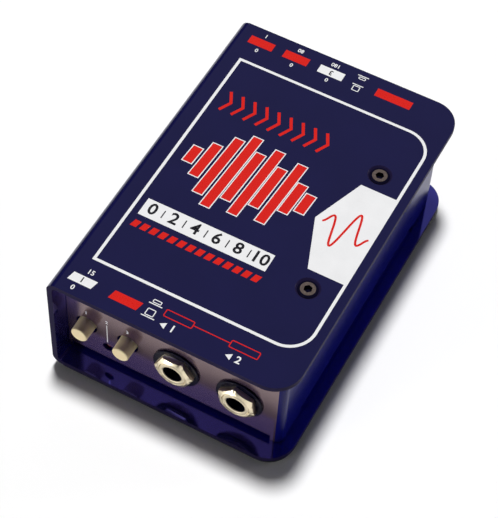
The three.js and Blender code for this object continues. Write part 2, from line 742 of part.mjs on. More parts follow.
function chassisHoles() {
  const holes = [];
  for (const x of [INPUT_JACK_X, THRU_JACK_X]) {
    holes.push(panelHole(BUSH_RADIUS + SLIDE_GAP, x, AXIS_Z, false, HIDDEN_SIDES));
  }
  for (const x of Object.values(FRONT_BUTTONS)) {
    holes.push(panelHole(BUTTON_HOLE_RADIUS, x, AXIS_Z, false, MEDIUM_SIDES));
  }
  for (const x of Object.values(REAR_BUTTONS)) {
    holes.push(panelHole(BUTTON_HOLE_RADIUS, x, AXIS_Z, true, MEDIUM_SIDES));
  }
  const ledZ = BOARD_TOP + LED_ABOVE_BOARD;
  holes.push(panelHole(LED_HOLE_RADIUS, LED_X, ledZ, false, SMALL_SIDES));
  holes.push(panelHole(BARREL_RADIUS + SLIDE_GAP, CONNECTOR_X, CONNECTOR_Z, true, MEDIUM_SIDES));
  for (const side of [-1, 1]) {
    const x = CONNECTOR_X + (side * CONNECTOR_SCREW_ACROSS) / 2;
    const z = CONNECTOR_Z + (side * CONNECTOR_SCREW_UP) / 2;
    holes.push(panelHole(CONNECTOR_SCREW_RADIUS + FIT_GAP, x, z, true, SMALL_SIDES));
  }
  for (const y of Object.values(SHELL_SCREW_PLACES)) {
    const radius = SHELL_SCREW_RADIUS + FIT_GAP;
    const [low, high] = [CHASSIS_BOTTOM - OVERCUT, CHASSIS_TOP + OVERCUT];
    holes.push(rodUp(radius, SHELL_SCREW_X, y, low, high, HIDDEN_SIDES));
  }
  for (const [x, y] of Object.values(BOARD_SCREW_PLACES)) {
    const radius = BOARD_SCREW_RADIUS + FIT_GAP;
    holes.push(rodUp(radius, x, y, CHASSIS_FLOOR, BOARD_BOTTOM + OVERCUT, SMALL_SIDES));
  }
  return holes;
}

// The room inside the sleeve, whose closed side has the inner radius of the sleeve's folds.
function sleeveRoom() {
  const radius = SHELL_BEND_RADIUS - SHELL_SHEET;
  const [width, height] = [SHELL_RIGHT - CHASSIS_LEFT, CHASSIS_TOP - CHASSIS_BOTTOM];
  const shape = roundedRectangle(width, height, [radius, 0, 0, radius]);
  const room = alongY(shape, -SHELL_END, SHELL_END);
  return room.translate(CHASSIS_LEFT + width / 2, 0, CHASSIS_BOTTOM + height / 2);
}

function makeChassis() {
  const walls = cut(chassisWalls(), ...foldNotches());
  const rearLip = panelLip().rotateZ(Math.PI).translate(LIP_LEFT + LIP_RIGHT, 0, 0);
  const folded = joined(walls, sideFlanges(), panelLip(), rearLip, ...chassisBosses());
  return cut(common(folded, sleeveRoom()), ...chassisHoles());
}

// ---------------------------------------------------------------- Jacks

function makeNut(turnDegrees) {
  const cornerRadius = NUT_FLATS / 2 / Math.cos(Math.PI / 6);
  const slope = Math.tan(THREE.MathUtils.degToRad(NUT_CHAMFER_ANGLE));
  const chamfer = (cornerRadius - NUT_FACE_RADIUS) * slope;
  const prism = alongY(hexagon(NUT_FLATS, turnDegrees), NUT_FACE, -WASHER_THICKNESS);
  const cone = turnedIn(
    [
      [0, NUT_FACE],
      [NUT_FACE_RADIUS, NUT_FACE],
      [cornerRadius, NUT_FACE + chamfer],
      [cornerRadius + OVERCUT, NUT_FACE + chamfer + OVERCUT * slope],
      [cornerRadius + OVERCUT, 0],
      [0, 0],
    ],
    LARGE_SIDES,
  );
  const bore = rodIn(BUSH_RADIUS + FIT_GAP, 0, 0, NUT_FACE - OVERCUT, OVERCUT, LARGE_SIDES);
  return cut(common(prism, cone), bore);
}

function makeBush() {
  const shoulderBack = CHASSIS_SHEET + BUSH_SHOULDER_DEPTH;
  const edge = FIT_GAP * 2;
  return turnedIn(
    [
      [PLUG_BORE_RADIUS + edge, NUT_FACE],
      [BUSH_RADIUS - edge, NUT_FACE],
      [BUSH_RADIUS, NUT_FACE + edge],
      [BUSH_RADIUS, CHASSIS_SHEET],
      [BUSH_SHOULDER_RADIUS, CHASSIS_SHEET],
      [BUSH_SHOULDER_RADIUS, shoulderBack],
      [BUSH_RADIUS, shoulderBack],
      [BUSH_RADIUS, shoulderBack + BUSH_TAIL_DEPTH],
      [PLUG_BORE_RADIUS, shoulderBack + BUSH_TAIL_DEPTH],
      [PLUG_BORE_RADIUS, NUT_FACE + edge],
    ],
    LARGE_SIDES,
  );
}

const JACK_SLOT_HALF_WIDTH = SPRING_WIDTH / 2 + SLIDE_GAP;
const JACK_BORE_RADIUS = PLUG_BORE_RADIUS + FIT_GAP;
const BUSH_BACK = CHASSIS_SHEET + BUSH_SHOULDER_DEPTH + BUSH_TAIL_DEPTH;
const SLEEVE_SLOT_FRONT = BUSH_BACK + SLEEVE_SLOT_TO_BUSH;
const TIP_SLOT_BACK = JACK_BACK - JACK_BODY_END_WALL - TIP_SLOT_TO_END_WALL;

// The moulded body: a block on two feet, bored for the plug and slotted for its two springs.
function makeJackBody() {
  const halfWidth = JACK_BODY_WIDTH / 2;
  const corners = [0, 0, JACK_BODY_CORNER, JACK_BODY_CORNER];
  const front = roundedRectangle(JACK_BODY_WIDTH, 2 * JACK_BODY_RISE, corners);
  const shoulderBack = CHASSIS_SHEET + BUSH_SHOULDER_DEPTH;
  const footPlaces = [CHASSIS_SHEET + JACK_FOOT_TO_END, JACK_BACK - JACK_FOOT_TO_END];
  const feet = footPlaces.map((y) => {
    const [y0, y1] = [y - JACK_FOOT_LENGTH / 2, y + JACK_FOOT_LENGTH / 2];
    return block(-halfWidth, halfWidth, y0, y1, -AXIS_ABOVE_BOARD, -JACK_BODY_RISE);
  });
  const body = joined(alongY(front, CHASSIS_SHEET, JACK_BACK), ...feet);
  const bore = turnedIn(
    [
      [0, CHASSIS_SHEET - OVERCUT],
      [BUSH_SHOULDER_RADIUS + FIT_GAP, CHASSIS_SHEET - OVERCUT],
      [BUSH_SHOULDER_RADIUS + FIT_GAP, shoulderBack + FIT_GAP],
      [BUSH_RADIUS + FIT_GAP, shoulderBack + FIT_GAP],
      [BUSH_RADIUS + FIT_GAP, BUSH_BACK + FIT_GAP],
      [JACK_BORE_RADIUS, BUSH_BACK + FIT_GAP],
      [JACK_BORE_RADIUS, JACK_BACK - JACK_BODY_END_WALL],
      [0, JACK_BACK - JACK_BODY_END_WALL],
    ],
    MEDIUM_SIDES,
  );
  const halfSlot = JACK_SLOT_HALF_WIDTH;
  const tipSlot = block(
    -halfSlot,
    halfSlot,
    TIP_SLOT_BACK - TIP_SLOT_LENGTH,
    TIP_SLOT_BACK,
    0,
    JACK_BODY_RISE + OVERCUT,
  );
  const sleeveSlot = block(
    -halfSlot,
    halfSlot,
    SLEEVE_SLOT_FRONT,
    SLEEVE_SLOT_FRONT + SLEEVE_SLOT_LENGTH,
    -JACK_BODY_RISE - OVERCUT,
    0,
  );
  return cut(body, bore, tipSlot, sleeveSlot);
}

// The tip spring hooks over the top of the body, dips into the bore and runs down the back.
function makeTipSpring() {
  const top = JACK_BODY_RISE + SPRING_THICKNESS;
  const dip = PLUG_BORE_RADIUS - SPRING_REACH + SPRING_THICKNESS;
  const contact = TIP_SLOT_BACK - TIP_SLOT_LENGTH + TIP_CONTACT_TO_SLOT_FRONT;
  const back = JACK_BACK + SPRING_THICKNESS + FIT_GAP;
  const line = [
    [back, LEAD_END - AXIS_Z],
    [back, top],
    [TIP_SLOT_BACK - TIP_SPRING_SEAT, top],
    [contact + SPRING_CONTACT, dip],
    [contact, dip],
    [contact - SPRING_KICK, dip + SPRING_KICK],
  ];
  const half = SPRING_WIDTH / 2;
  const lead = back - SPRING_THICKNESS / 2;
  return { geometry: alongX(strip(line, SPRING_THICKNESS), -half, half), lead };
}

// The sleeve spring rises through the slot under the bore and meets the plug near the front.
function makeSleeveSpring() {
  const reach = -PLUG_BORE_RADIUS + SPRING_REACH - SPRING_THICKNESS;
  const front = SLEEVE_SLOT_FRONT + FIT_GAP + SPRING_THICKNESS;
  const contact = front + SLEEVE_SPRING_RAMP;
  const line = [
    [front, LEAD_END - AXIS_Z],
    [front, reach - SLEEVE_SPRING_RAMP],
    [contact, reach],
    [contact + SPRING_CONTACT, reach],
    [contact + SPRING_CONTACT + SPRING_KICK, reach - SPRING_KICK],
  ];
  const half = SPRING_WIDTH / 2;
  const lead = front - SPRING_THICKNESS / 2;
  return { geometry: alongX(strip(line, SPRING_THICKNESS), -half, half), lead };
}

const springSlots = [];

function addJack(name, x, nutTurn) {
  const group = controlGroup(x, AXIS_Z, false);
  const washer = tubeIn(WASHER_RADIUS, BUSH_RADIUS + SLIDE_GAP, -WASHER_THICKNESS, 0, LARGE_SIDES);
  addMesh(group, `${name}_jack_nut`, makeNut(nutTurn), brightNickel);
  addMesh(group, `${name}_jack_washer`, washer, blackNylon);
  addMesh(group, `${name}_jack_bush`, makeBush(), brightNickel);
  addMesh(group, `${name}_jack_body`, makeJackBody(), blackNylon);
  const springs = { tip: makeTipSpring(), sleeve: makeSleeveSpring() };
  for (const [kind, spring] of Object.entries(springs)) {
    addMesh(group, `${name}_jack_${kind}_spring`, spring.geometry, springBrass);
    springSlots.push([x, spring.lead - PANEL_Y]);
  }
}

// ---------------------------------------------------------------- Push switches

function makeButton() {
  const edge = BUTTON_EDGE_RADIUS;
  const profile = [
    [0, -BUTTON_PROUD],
    ...roundedFace(BUTTON_FACE_RADIUS, edge, -BUTTON_PROUD),
    [BUTTON_BASE_RADIUS, BUTTON_BACK],
    [0, BUTTON_BACK],
  ];
  const half = PLUNGER_SIDE / 2 + FIT_GAP;
  const socketFloor = BUTTON_BACK - BUTTON_SOCKET_DEPTH;
  const socket = block(-half, half, socketFloor, BUTTON_BACK + OVERCUT, -half, half);
  return cut(turnedIn(profile, MEDIUM_SIDES), socket);
}

const SWITCH_BODY_FRONT = SWITCH_FRONT + SWITCH_NOSE_DEPTH;
const SWITCH_BACK = SWITCH_BODY_FRONT + SWITCH_DEPTH;

function switchLeads() {
  const x = SWITCH_LEAD_PITCH / 2;
  const [front, back] = [SWITCH_BODY_FRONT + SWITCH_LEAD_TO_END, SWITCH_BACK - SWITCH_LEAD_TO_END];
  return [
    [-x, front],
    [x, front],
    [-x, back],
    [x, back],
  ];
}

function makeSwitchBody() {
  const half = SWITCH_WIDTH / 2;
  const nose = SWITCH_NOSE_SIDE / 2;
  const channel = PLUNGER_SIDE / 2 + SLIDE_GAP;
  const channelBack = PLUNGER_BACK + BUTTON_TRAVEL + STROKE_GAP;
  const pins = switchLeads().map(([x, y]) =>
    rodUp(LEAD_RADIUS, x, y, LEAD_END - AXIS_Z, -AXIS_ABOVE_BOARD + OVERCUT, LEAD_SIDES),
  );
  const [front, back] = [SWITCH_BODY_FRONT, SWITCH_BACK];
  const body = joined(
    block(-half, half, front, back, -AXIS_ABOVE_BOARD, SWITCH_RISE),
    block(-nose, nose, SWITCH_FRONT, front + OVERCUT, -nose, nose),
    ...pins,
  );
  // A shallow groove round the moulding parts its cover from its base.
  const [low, high] = [-nose - SWITCH_GROOVE_WIDTH, -nose];
  const core = half - SWITCH_GROOVE_DEPTH;
  const [coreFront, coreBack] = [front + SWITCH_GROOVE_DEPTH, back - SWITCH_GROOVE_DEPTH];
  const groove = cut(
    block(-half - OVERCUT, half + OVERCUT, front - OVERCUT, back + OVERCUT, low, high),
    block(-core, core, coreFront, coreBack, low - OVERCUT, high + OVERCUT),
  );
  const slot = block(-channel, channel, SWITCH_FRONT - OVERCUT, channelBack, -channel, channel);
  return cut(body, slot, groove);
}

function makePlunger() {
  const half = PLUNGER_SIDE / 2;
  return block(-half, half, PLUNGER_FRONT, PLUNGER_BACK, -half, half);
}

function addSwitch(name, x, rear) {
  const group = controlGroup(x, AXIS_Z, rear);
  addMesh(group, `${name}_button`, makeButton(), creamPlastic);
  addMesh(group, `${name}_switch_plunger`, makePlunger(), whitePlastic);
  addMesh(group, `${name}_switch_body`, makeSwitchBody(), blackNylon);
  noteLeads(group, switchLeads());
}

// ---------------------------------------------------------------- Output connector

function makeConnectorShell() {
  const corners = Array(4).fill(FLANGE_PLATE_CORNER);
  const plate = roundedRectangle(FLANGE_PLATE_WIDTH, FLANGE_PLATE_HEIGHT, corners);
  const flange = alongY(plate, CONNECTOR_FACE, -TURNED_SEAT_GAP);
  const barrel = rodIn(BARREL_RADIUS, 0, 0, -FLANGE_PLATE_THICKNESS / 2, BARREL_BACK, LARGE_SIDES);
  const insertBack = BARREL_BACK - BARREL_LIP;
  const cup = turnedIn(
    [
      [0, CONNECTOR_FACE - OVERCUT],
      [CUP_RADIUS + CUP_RIM_CHAMFER + OVERCUT, CONNECTOR_FACE - OVERCUT],
      [CUP_RADIUS, CONNECTOR_FACE + CUP_RIM_CHAMFER],
      [CUP_RADIUS, insertBack],
      [CUP_RADIUS - BARREL_LIP, insertBack],
      [CUP_RADIUS - BARREL_LIP, BARREL_BACK + OVERCUT],
      [0, BARREL_BACK + OVERCUT],
    ],
    LARGE_SIDES,
  );
  const halfKey = KEYWAY_WIDTH / 2;
  const keyTop = CUP_RADIUS + KEYWAY_DEPTH;
  const keyway = block(-halfKey, halfKey, CONNECTOR_FACE - OVERCUT, CUP_FLOOR, 0, keyTop);
  const holes = connectorScrewPlaces().map(([x, z]) => {
    const hole = countersunkHole(
      CONNECTOR_SCREW_RADIUS + SCREW_HOLE_GAP,
      CONNECTOR_SCREW_HEAD_RADIUS + SCREW_HOLE_GAP,
      FLANGE_PLATE_THICKNESS,
    );
    return hole.rotateX(Math.PI / 2).translate(x, CONNECTOR_FACE, z);
  });
  return cut(joined(flange, barrel), cup, keyway, ...holes);
}

function connectorScrewPlaces() {
  const [x, z] = [CONNECTOR_SCREW_ACROSS / 2, CONNECTOR_SCREW_UP / 2];
  return [
    [x, -z],
    [-x, z],
  ];
}

function pinPlaces() {
  return PIN_ANGLES.map((degrees) => {
    const angle = THREE.MathUtils.degToRad(degrees);
    return [PIN_CIRCLE_RADIUS * Math.cos(angle), PIN_CIRCLE_RADIUS * Math.sin(angle)];
  });
}

function makeInsert() {
  const radius = CUP_RADIUS - FIT_GAP;
  const disc = rodIn(radius, 0, 0, CUP_FLOOR, CUP_FLOOR + INSERT_THICKNESS, LARGE_SIDES);
  const holes = pinPlaces().map(([x, z]) => {
    const [y0, y1] = [CUP_FLOOR - OVERCUT, CUP_FLOOR + INSERT_THICKNESS + OVERCUT];
    return rodIn(PIN_RADIUS + FIT_GAP / 2, x, z, y0, y1, SMALL_SIDES);
  });
  return cut(disc, ...holes);
}

const PIN_TAIL_Y = BARREL_BACK + PIN_TAIL_GAP;

// A round contact with a domed tip, whose tail turns down behind the barrel to the board.
function makePin(z) {
  const tip = CONNECTOR_FACE + PIN_SET_BACK;
  const back = PIN_TAIL_Y + LEAD_RADIUS;
  const profile = [...roundedFace(PIN_RADIUS, PIN_RADIUS, tip), [PIN_RADIUS, back], [0, back]];
  const tail = rodUp(LEAD_RADIUS, 0, PIN_TAIL_Y, LEAD_END - CONNECTOR_Z - z, 0, LEAD_SIDES);
  return joined(turnedIn(profile, SMALL_SIDES), tail);
}

function addConnector() {
  const group = controlGroup(CONNECTOR_X, CONNECTOR_Z, true);
  addMesh(group, "output_connector_shell", makeConnectorShell(), blackSteel);
  addMesh(group, "output_connector_insert", makeInsert(), blackNylon);
  pinPlaces().forEach(([x, z], index) => {
    const pin = addMesh(group, `output_connector_pin_${index + 1}`, makePin(z), brightNickel);
    pin.position.set(x, 0, z);
  });
  connectorScrewPlaces().forEach(([x, z], index) => {
    const screw = countersunkScrew(
      CONNECTOR_SCREW_RADIUS,
      CONNECTOR_SCREW_HEAD_RADIUS,
      CONNECTOR_SCREW_LENGTH,
      CONNECTOR_SCREW_KEY,
    );
    const mesh = addMesh(group, `output_connector_screw_${index + 1}`, screw, blackSteel);
    mesh.position.set(x, CONNECTOR_FACE, z);
    mesh.rotation.x = Math.PI / 2;
  });
  noteLeads(
    group,
    pinPlaces().map(([x]) => [x, PIN_TAIL_Y]),
  );
}

// ---------------------------------------------------------------- Indicator lamp

const LED_LEAD_Y = SPACER_BACK + LEAD_RADIUS + FIT_GAP;

function makeLed() {
  const profile = [
    ...roundedFace(LED_RADIUS, LED_RADIUS, LED_SET_BACK),
    [LED_RADIUS, LED_RIM_FRONT],
    [LED_RIM_RADIUS, LED_RIM_FRONT],
    [LED_RIM_RADIUS, LED_BACK],
    [0, LED_BACK],
  ];
  const leads = [-1, 1].flatMap((side) => {
    const x = (side * LED_LEAD_PITCH) / 2;
    const back = LED_LEAD_Y + LEAD_RADIUS;
    const low = LEAD_END - (BOARD_TOP + LED_ABOVE_BOARD);
    return [
      rodIn(LEAD_RADIUS, x, 0, LED_RIM_FRONT, back, LEAD_SIDES),
      rodUp(LEAD_RADIUS, x, LED_LEAD_Y, low, 0, LEAD_SIDES),
    ];
  });
  return joined(turnedIn(profile, SMALL_SIDES), ...leads);
}

function makeSpacer() {
  const half = SPACER_WIDTH / 2;
  const body = block(-half, half, SPACER_FRONT, SPACER_BACK, -LED_ABOVE_BOARD, SPACER_RISE);
  const channels = [-1, 1].map((side) => {
    const x = (side * LED_LEAD_PITCH) / 2;
    const [y0, y1] = [SPACER_FRONT - OVERCUT, SPACER_BACK + OVERCUT];
    return rodIn(LEAD_RADIUS + FIT_GAP, x, 0, y0, y1, LEAD_SIDES);
  });
  return cut(body, ...channels);
}

function addLed() {
  const group = controlGroup(LED_X, BOARD_TOP + LED_ABOVE_BOARD, false);
  addMesh(group, "indicator_led", makeLed(), redLens);
  addMesh(group, "indicator_led_spacer", makeSpacer(), blackNylon);
  noteLeads(
    group,
    [-1, 1].map((side) => [(side * LED_LEAD_PITCH) / 2, LED_LEAD_Y]),
  );
}

// ---------------------------------------------------------------- Board components

// A component's own frame: its origin is on the top of the board, with +Z up.
function boardGroup(x, y) {
  const group = new THREE.Group();
  group.position.set(x, y, BOARD_TOP);
  box.add(group);
  return group;
}

function legs(places, top) {
  return places.map(([x, y]) => rodUp(LEAD_RADIUS, x, y, LEAD_END - BOARD_TOP, top, LEAD_SIDES));
}

function addComponent(name, x, y, body, leads, legTop, material) {
  const group = boardGroup(x, y);
  addMesh(group, name, joined(body, ...legs(leads, legTop)), material);
  noteLeads(group, leads);
}

// A can with a rolled groove over its rubber bung and a rounded rim.
function makeCan() {
  return turnedUp(
    [
      [0, 0],
      [CAN_RADIUS, 0],
      [CAN_RADIUS, CAN_GROOVE_RISE - CAN_RIM],
      [CAN_RADIUS - CAN_RIM, CAN_GROOVE_RISE],
      [CAN_RADIUS, CAN_GROOVE_RISE + CAN_RIM],
      [CAN_RADIUS, CAN_HEIGHT - CAN_RIM],
      [CAN_RADIUS - CAN_RIM, CAN_HEIGHT],
      [0, CAN_HEIGHT],
    ],
    HIDDEN_SIDES,
  );
}

function addCapacitors() {
  const canLeads = [-1, 1].map((side) => [(side * CAN_LEAD_PITCH) / 2, 0]);
  let count = 0;
  for (const across of [-1, 1]) {
    for (const along of [-1, 1]) {
      count += 1;
      const x = BOARD_MIDDLE_X + CAN_ROW_X + (across * CAN_PITCH_ACROSS) / 2;
      const y = (along * CAN_PITCH_ALONG) / 2;
      const name = `coupling_capacitor_${count}`;
      addComponent(name, x, y, makeCan(), canLeads, OVERCUT, blueSleeve);
    }
  }
  const filmLeads = [-1, 1].map((side) => [(side * FILM_LEAD_PITCH) / 2, 0]);
  const outline = roundedRectangle(FILM_LENGTH, FILM_WIDTH, Array(4).fill(FILM_CORNER));
  [-1, 1].forEach((side, index) => {
    const y = (side * FILM_PITCH) / 2;
    const body = alongZ(outline, 0, FILM_HEIGHT);
    const name = `film_capacitor_${index + 1}`;
    addComponent(name, BOARD_MIDDLE_X, y, body, filmLeads, OVERCUT, redFilm);
  });
}

// A moulded amplifier: drafted sides, a notch at its end and eight legs that shoulder out and
// stand on the pads of the board.
function makeAmplifier() {
  const [length, width] = [AMPLIFIER_LENGTH / 2, AMPLIFIER_WIDTH / 2];
  const draft = AMPLIFIER_DRAFT;
  const top = AMPLIFIER_STAND + AMPLIFIER_HEIGHT;
  const middle = (AMPLIFIER_STAND + top) / 2;
  const section = new THREE.Shape(
    [
      [-width + draft, AMPLIFIER_STAND],
      [width - draft, AMPLIFIER_STAND],
      [width, middle],
      [width - draft, top],
      [-width + draft, top],
      [-width, middle],
    ].map(([y, z]) => new THREE.Vector2(y, z)),
  );
  const notch = rodUp(AMPLIFIER_NOTCH_RADIUS, -length, 0, top - draft, top + OVERCUT, SMALL_SIDES);
  const outer = AMPLIFIER_LEG_SPAN / 2;
  const half = AMPLIFIER_LEG_WIDTH / 2;
  const thickness = AMPLIFIER_LEG_THICKNESS;
  const leg = strip(
    [
      [width - draft, middle],
      [outer, middle],
      [outer, thickness],
      [outer + AMPLIFIER_FOOT, thickness],
    ],
    -thickness,
  );
  const legsOut = [];
  for (let column = 0; column < AMPLIFIER_LEGS_PER_SIDE; column++) {
    const x = (column - (AMPLIFIER_LEGS_PER_SIDE - 1) / 2) * AMPLIFIER_LEG_PITCH;
    const right = alongX(leg, x - half, x + half);
    legsOut.push(right, right.clone().rotateZ(Math.PI));
  }
  return joined(cut(alongX(section, -length, length), notch), ...legsOut);
}

function addAmplifiers() {
  ["input_amplifier", "output_driver"].forEach((name, index) => {
    const x = BOARD_MIDDLE_X + AMPLIFIER_ROW_X + (index - 0.5) * AMPLIFIER_PITCH;
    addMesh(boardGroup(x, 0), name, makeAmplifier(), blackNylon);
  });
}

// The supply coil: a ferrite bobbin with its winding drawn as the drum between the rims.
function addCoil() {
  const [rim, height] = [COIL_RIM_THICKNESS, COIL_HEIGHT];
  const drum = (COIL_RIM_RADIUS + COIL_CORE_RADIUS) / 2;
  const bobbin = turnedUp(
    [
      [0, 0],
      [COIL_RIM_RADIUS, 0],
      [COIL_RIM_RADIUS, rim],
      [drum, rim],
      [drum, height - rim],
      [COIL_RIM_RADIUS, height - rim],
      [COIL_RIM_RADIUS, height],
      [0, height],
    ],
    HIDDEN_SIDES,
  );
  const leads = [-1, 1].map((side) => [(side * COIL_LEAD_PITCH) / 2, 0]);
  const x = BOARD_MIDDLE_X + COIL_X;
  addComponent("supply_coil", x, COIL_Y, bobbin, leads, OVERCUT, greyFerrite);
}

function addTransistors() {
  const leads = [-1, 0, 1].map((step) => [step * TRANSISTOR_LEAD_PITCH, 0]);
  const [bottom, top] = [TRANSISTOR_STAND, TRANSISTOR_STAND + TRANSISTOR_HEIGHT];
  [-1, 1].forEach((side, index) => {
    const round = rodUp(TRANSISTOR_RADIUS, 0, 0, bottom, top, SMALL_SIDES);
    const size = 2 * TRANSISTOR_RADIUS;
    const face = block(-size, size, TRANSISTOR_FLAT, size, bottom - OVERCUT, top + OVERCUT);
    const x = BOARD_MIDDLE_X + TRANSISTOR_X + (side * TRANSISTOR_PITCH) / 2;
    const name = `supply_transistor_${index + 1}`;
    addComponent(name, x, TRANSISTOR_Y, cut(round, face), leads, bottom + OVERCUT, blackNylon);
  });
}

// ---------------------------------------------------------------- Circuit board

function makeBoard() {
  const outline = new THREE.Shape(
    [
      [BOARD_LEFT, -BOARD_END],
      [BOARD_RIGHT, -BOARD_END],
      [BOARD_RIGHT, BOARD_END],
      [BOARD_LEFT, BOARD_END],
    ].map(([x, y]) => new THREE.Vector2(x, y)),
  );
  const [low, high] = [BOARD_BOTTOM - OVERCUT, BOARD_TOP + OVERCUT];
  const leadRadius = LEAD_RADIUS + FIT_GAP;
  const holes = leadPlaces.map(({ x, y }) => rodUp(leadRadius, x, y, low, high, LEAD_SIDES));
  for (const [x, y] of Object.values(BOARD_SCREW_PLACES)) {
    holes.push(rodUp(BOARD_SCREW_RADIUS + SLIDE_GAP, x, y, low, high, SMALL_SIDES));
  }
  const slot = JACK_SLOT_HALF_WIDTH;
  for (const [x, y] of springSlots) {
    const half = SPRING_THICKNESS / 2 + FIT_GAP;
    holes.push(block(x - slot, x + slot, y - half, y + half, low, high));
  }
  return cut(alongZ(outline, BOARD_BOTTOM, BOARD_TOP), ...holes);
}

function addBoardScrews() {
  const profile = [
    [0, -BOARD_SCREW_LENGTH],
    [BOARD_SCREW_RADIUS, -BOARD_SCREW_LENGTH],
    [BOARD_SCREW_RADIUS, 0],
    [BOARD_SCREW_HEAD_RADIUS, 0],
    [BOARD_SCREW_HEAD_RADIUS, BOARD_SCREW_HEAD_HEIGHT - BOARD_SCREW_CROWN],
    [BOARD_SCREW_HEAD_RADIUS - BOARD_SCREW_CROWN, BOARD_SCREW_HEAD_HEIGHT],
    [0, BOARD_SCREW_HEAD_HEIGHT],
  ];
  const [long, narrow] = [BOARD_SCREW_CROSS_LENGTH / 2, BOARD_SCREW_CROSS_WIDTH / 2];
  const [low, high] = [BOARD_SCREW_HEAD_HEIGHT / 2, BOARD_SCREW_HEAD_HEIGHT + OVERCUT];
  const cross = [
    block(-long, long, -narrow, narrow, low, high),
    block(-narrow, narrow, -long, long, low, high),
  ];
  const screw = cut(turnedUp(profile, SMALL_SIDES), ...cross);
  for (const [place, [x, y]] of Object.entries(BOARD_SCREW_PLACES)) {
    addMesh(box, `board_screw_${place}`, screw, tinnedSteel).position.set(x, y, BOARD_TOP);
  }
}

// ---------------------------------------------------------------- Assembly

addMesh(box, "outer_shell", makeOuterShell(), blueEnamel);
addMesh(box, "no_slip_pad", makePad(), blackRubber);
addMesh(box, "inner_chassis", makeChassis(), blueEnamel);
addShellScrews();

addJack("input", INPUT_JACK_X, INPUT_NUT_TURN);
addJack("thru", THRU_JACK_X, THRU_NUT_TURN);
for (const [name, x] of Object.entries(FRONT_BUTTONS)) addSwitch(name, x, false);
for (const [name, x] of Object.entries(REAR_BUTTONS)) addSwitch(name, x, true);
addConnector();
addLed();

addCapacitors();
addAmplifiers();
addCoil();
addTransistors();
addMesh(box, "circuit_board", makeBoard(), greenBoard);
addBoardScrews();

export default box;
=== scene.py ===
import json
import math

import bmesh
import bpy
from mathutils import Matrix, Vector

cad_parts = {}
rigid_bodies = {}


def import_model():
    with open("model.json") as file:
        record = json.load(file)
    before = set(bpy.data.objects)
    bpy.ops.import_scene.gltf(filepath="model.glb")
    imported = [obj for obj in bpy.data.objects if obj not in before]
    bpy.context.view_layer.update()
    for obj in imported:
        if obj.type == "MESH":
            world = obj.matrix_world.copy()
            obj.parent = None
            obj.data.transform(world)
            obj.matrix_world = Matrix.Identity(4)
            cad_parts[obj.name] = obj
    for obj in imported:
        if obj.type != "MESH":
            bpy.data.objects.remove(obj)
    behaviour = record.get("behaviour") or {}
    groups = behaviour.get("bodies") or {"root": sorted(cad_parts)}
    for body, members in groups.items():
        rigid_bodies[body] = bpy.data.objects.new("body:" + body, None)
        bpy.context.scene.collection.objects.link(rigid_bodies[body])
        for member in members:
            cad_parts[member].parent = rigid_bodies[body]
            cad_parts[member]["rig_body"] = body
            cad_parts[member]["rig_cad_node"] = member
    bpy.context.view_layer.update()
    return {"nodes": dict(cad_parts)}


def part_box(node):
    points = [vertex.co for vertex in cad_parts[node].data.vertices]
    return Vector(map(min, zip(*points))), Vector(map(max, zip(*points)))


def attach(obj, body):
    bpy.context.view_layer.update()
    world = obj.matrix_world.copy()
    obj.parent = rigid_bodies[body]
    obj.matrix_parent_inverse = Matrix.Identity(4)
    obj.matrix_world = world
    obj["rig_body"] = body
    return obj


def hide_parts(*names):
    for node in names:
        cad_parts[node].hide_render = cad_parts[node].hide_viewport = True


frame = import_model()

# The looks of a small steel stage box: a folded sleeve with a screen-printed top, the chassis
# with its sockets and push buttons, and the finishes of everything inside. Sizes are metres
# written as a number of millimetres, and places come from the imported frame.

MM = 0.001


# ------------------------------------------------------------------ Places in the frame

def middle(node):
    low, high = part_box(node)
    return (low + high) / 2


def half_width_of(node):
    """Half of a node's width along X, which is the radius of a round one."""
    low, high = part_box(node)
    return (high.x - low.x) / 2


def length_of(node):
    """How long a node is along Y, the way that all the controls point."""
    low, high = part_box(node)
    return high.y - low.y


SLEEVE_LOW, SLEEVE_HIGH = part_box("outer_shell")
TOP = SLEEVE_HIGH.z
PANEL_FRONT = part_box("inner_chassis")[0].y
BOARD_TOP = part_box("circuit_board")[1].z
AXIS_Z = middle("input_jack_nut").z
LAMP_X = middle("indicator_led").x
CONNECTOR = middle("output_connector_shell")

ENDS = ("front", "rear")
JACKS = ("input", "thru")
FRONT_SWITCHES = ("pad", "merge")
REAR_SWITCHES = ("ground", "low_cut", "polarity")
PINS = [f"output_connector_pin_{number}" for number in (1, 2, 3)]
CONNECTOR_SCREWS = [f"output_connector_screw_{number}" for number in (1, 2)]


# ------------------------------------------------------------------ Sizes of the metalwork

SHEET = 1.9 * MM
SLEEVE_BEND = 3.5 * MM
PLATE_CORNER = 9.5 * MM
PAD_CORNER = 8.9 * MM
PAD_EDGE = 0.3 * MM
PAD_HOLE_RADIUS = 5.0 * MM
BEND_STEPS = 12
CORNER_STEPS = 16
EDGE_BREAK = 0.14 * MM
EDGE_SLOT = 2
HOLE_GAP = 0.2 * MM
OVERCUT = 1.0 * MM

SHARP_ANGLE = math.radians(38)
FLAT_ANGLE = math.radians(1)

# How straight along an axis a face or an edge has to point to be picked.
FACING = 0.9
PANEL_FACING = 0.98
ALONG = 0.99
FLAT_FACING = 0.9999

# How close together vertices are merged.
TURNED_DOUBLES = 0.001 * MM
CHASSIS_DOUBLES = 0.002 * MM
INK_DOUBLES = 0.0005 * MM

FACING_FRONT = 90
FACING_REAR = -90
FACING_DOWN = 180
FROM_BEHIND = 180

TURNED_SIDES = 96
FINE_SIDES = 128
PIN_SIDES = 48
HEXAGON = 6
TAIL_SIDES = 24
TIP_RADIUS = 0.05 * MM

